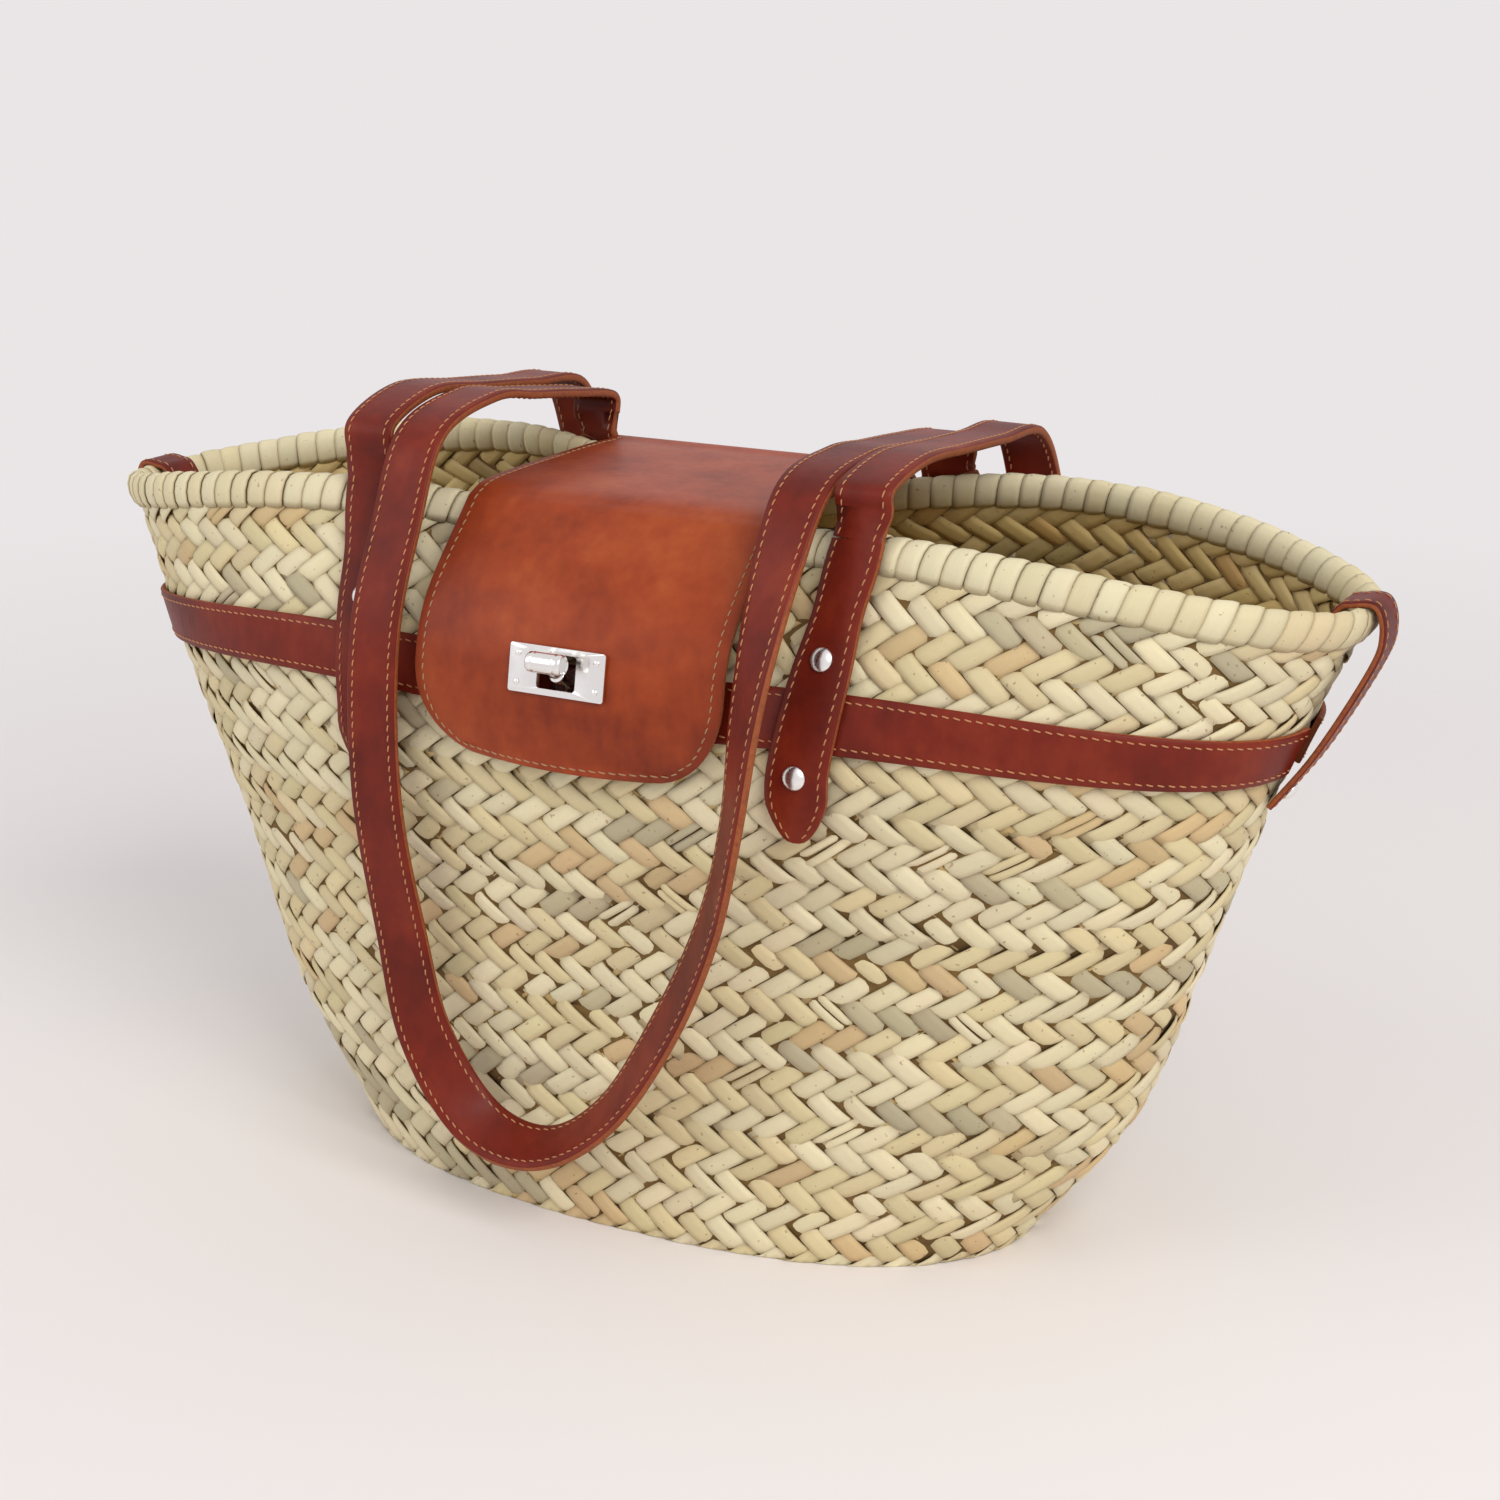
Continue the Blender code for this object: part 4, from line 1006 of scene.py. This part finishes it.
outerLoop = roundedLoop(*lock["plate"], lock["round"], 6)
slotLoop = roundedLoop(*flap["slot"], flap["slot"][1] * lock["slotRound"], 6)
top = lock["thick"]
verts = [(*spot, z) for outer, inner in zip(outerLoop, slotLoop)
         for spot, z in ((outer, top), (inner, top), (inner, 0.0), (outer, 0.0))]
plate = meshObject("lockPlate", verts, ringQuads(len(outerLoop), 4).reshape(-1, 4), [nickel])
easedEdges(plate, lock["eased"], 50, 35)
plate.data.transform(lockTurn)
plate.data.update()
finished(plate, "flap", ["lock_plate"])
pinX, pinY = (size / 2 - lock["pinInset"] for size in lock["plate"])
for u, a in ((-1, "l"), (1, "r")):
    for v, b in ((-1, "b"), (1, "t")):
        spot = lockTurn @ Vector((u * pinX, v * pinY, lock["thick"] + rivets["sit"]))
        rivetHead(f"platePin{a.upper()}{b}", np.array(spot), lockOut, "plate", "flap", f"plate_rivet_{a}{b}")

leanAxis = unit(lockOut * math.cos(lock["tilt"]) + lockUp * math.sin(lock["tilt"]))
tip = lockFace + leanAxis * (lock["thick"] + lock["lift"])
foot = np.array(next(joint["pos_m"] for joint in frame["joints"] if joint["name"] == "lock_turn"))
heap = Heap()
length = np.linalg.norm(tip - foot)
r = lock["postRadius"]
collar = r * 1.35
post = [(0.0, 0.0001), (0.0, r), (0.55, r), (0.58, collar), (0.66, collar), (0.69, r), (1.0, r), (1.0, 0.0001)]
lathe(heap, foot, leanAxis, [(length * along, radius) for along, radius in post], 28)
half, r = lock["barrelLength"] / 2, lock["barrelRadius"]
grooved = ((0.0003, 0.93), (0.0009, 1.0), (0.0024, 1.0), (0.0028, 0.9), (0.0034, 0.9), (0.0038, 1.0))
barrel = [(-half, 0.0001), (-half, r * 0.82)] + [(-half + along, r * share) for along, share in grooved]
barrel += [(half - along, r * share) for along, share in grooved[::-1]]
barrel += [(half, r * 0.82), (half - 0.0004, r * 0.7), (half - 0.0004, 0.0001)]
lathe(heap, tip, xAxis, barrel, 36)
toggle = heap.make("lockToggle", [nickel], "toggle", ["lock_toggle"])
picked(toggle)
bpy.ops.object.shade_smooth_by_angle(angle=math.radians(35))
base = frame["nodes"]["lock_base"]
base.data.materials.clear()
base.data.materials.append(rivetNickel)
print("lock made")

# Floor, light and camera
bpy.ops.mesh.primitive_plane_add(size=120, location=(0, 0, -0.0002))
floor = bpy.context.object
floor.name = "floor"
studio = dict(pale=linear(234, 230, 231), skyTint=(1.0, 0.99, 0.985), skyLevel=0.62, fadeStart=0.45, fadeRun=1.1,
              aim=(0.0, 0.0, 0.15))
floorLook = Look("paleFloor", Roughness=0.85, Base_Color=(*linear(243, 238, 238), 1.0), Specular_IOR_Level=0.1)
away = floorLook.node("ShaderNodeVectorMath", {"operation": "LENGTH"}, {0: floorLook.place()}, 1)
fade = floorLook.node("ShaderNodeMapRange", {"interpolation_type": "SMOOTHSTEP"},
                      {0: away, 1: studio["fadeStart"], 2: studio["fadeStart"] + studio["fadeRun"]})
clear = floorLook.node("ShaderNodeBsdfTransparent")
paint = Wire(floorLook, floorLook.shader.outputs[0])
joined = floorLook.node("ShaderNodeMixShader", None, {0: fade, 1: paint, 2: clear})
floorLook.show(joined)
floor.data.materials.append(floorLook.material)

# A soft sky for the light, an even pale ground for what is seen and mirrored
world = bpy.data.worlds.new("studio")
scene.world = world
room = Graph(world)
sky = room.tree.nodes["Background"]
sky.inputs[0].default_value, sky.inputs[1].default_value = (*studio["skyTint"], 1.0), studio["skyLevel"]
ground = room.node("ShaderNodeBackground", None, {0: (*studio["pale"], 1.0)})
rays = room.node("ShaderNodeLightPath", out="Is Camera Ray")
seen = rays
for kind in ("Is Glossy Ray", "Is Transmission Ray"):
    seen = seen.calc("MAXIMUM", seen, Wire(room, rays.socket.node.outputs[kind]))
room.show(room.node("ShaderNodeMixShader", None, {0: seen, 1: Wire(room, sky.outputs[0]), 2: ground}))


def aimed(name, data, place, target):
    obj = linked(name, data)
    obj.location, obj.rotation_mode = place, "QUATERNION"
    obj.rotation_quaternion = (Vector(target) - Vector(place)).to_track_quat("-Z", "Y")
    return obj


lamps = dict(windowLight=((1.9, -1.3, 2.1), 1.8, 42.0, (1.0, 0.985, 0.96)),
             fillLight=((-1.8, -1.8, 1.5), 2.2, 14.0, (0.95, 0.97, 1.0)))
for name, (place, *looks) in lamps.items():
    lamp = bpy.data.lights.new(name, "AREA")
    lamp.shape = "DISK"
    lamp.size, lamp.energy, lamp.color = looks
    aimed(name, lamp, place, studio["aim"])
view = dict(azimuth=28.0, elevation=17.4757, distance=1.1107, lens=61.77, target=(0.0262, 0.0, 0.1941))
a, e = math.radians(view["azimuth"]), math.radians(view["elevation"])
away = Vector((math.sin(a) * math.cos(e), -math.cos(a) * math.cos(e), math.sin(e))) * view["distance"]
camera = aimed("camera", bpy.data.cameras.new("camera"), Vector(view["target"]) + away, view["target"])
camera.data.lens, camera.data.sensor_width = view["lens"], 36.0
scene.camera = camera
scene.view_settings.view_transform = "Standard"
print("scene lit")
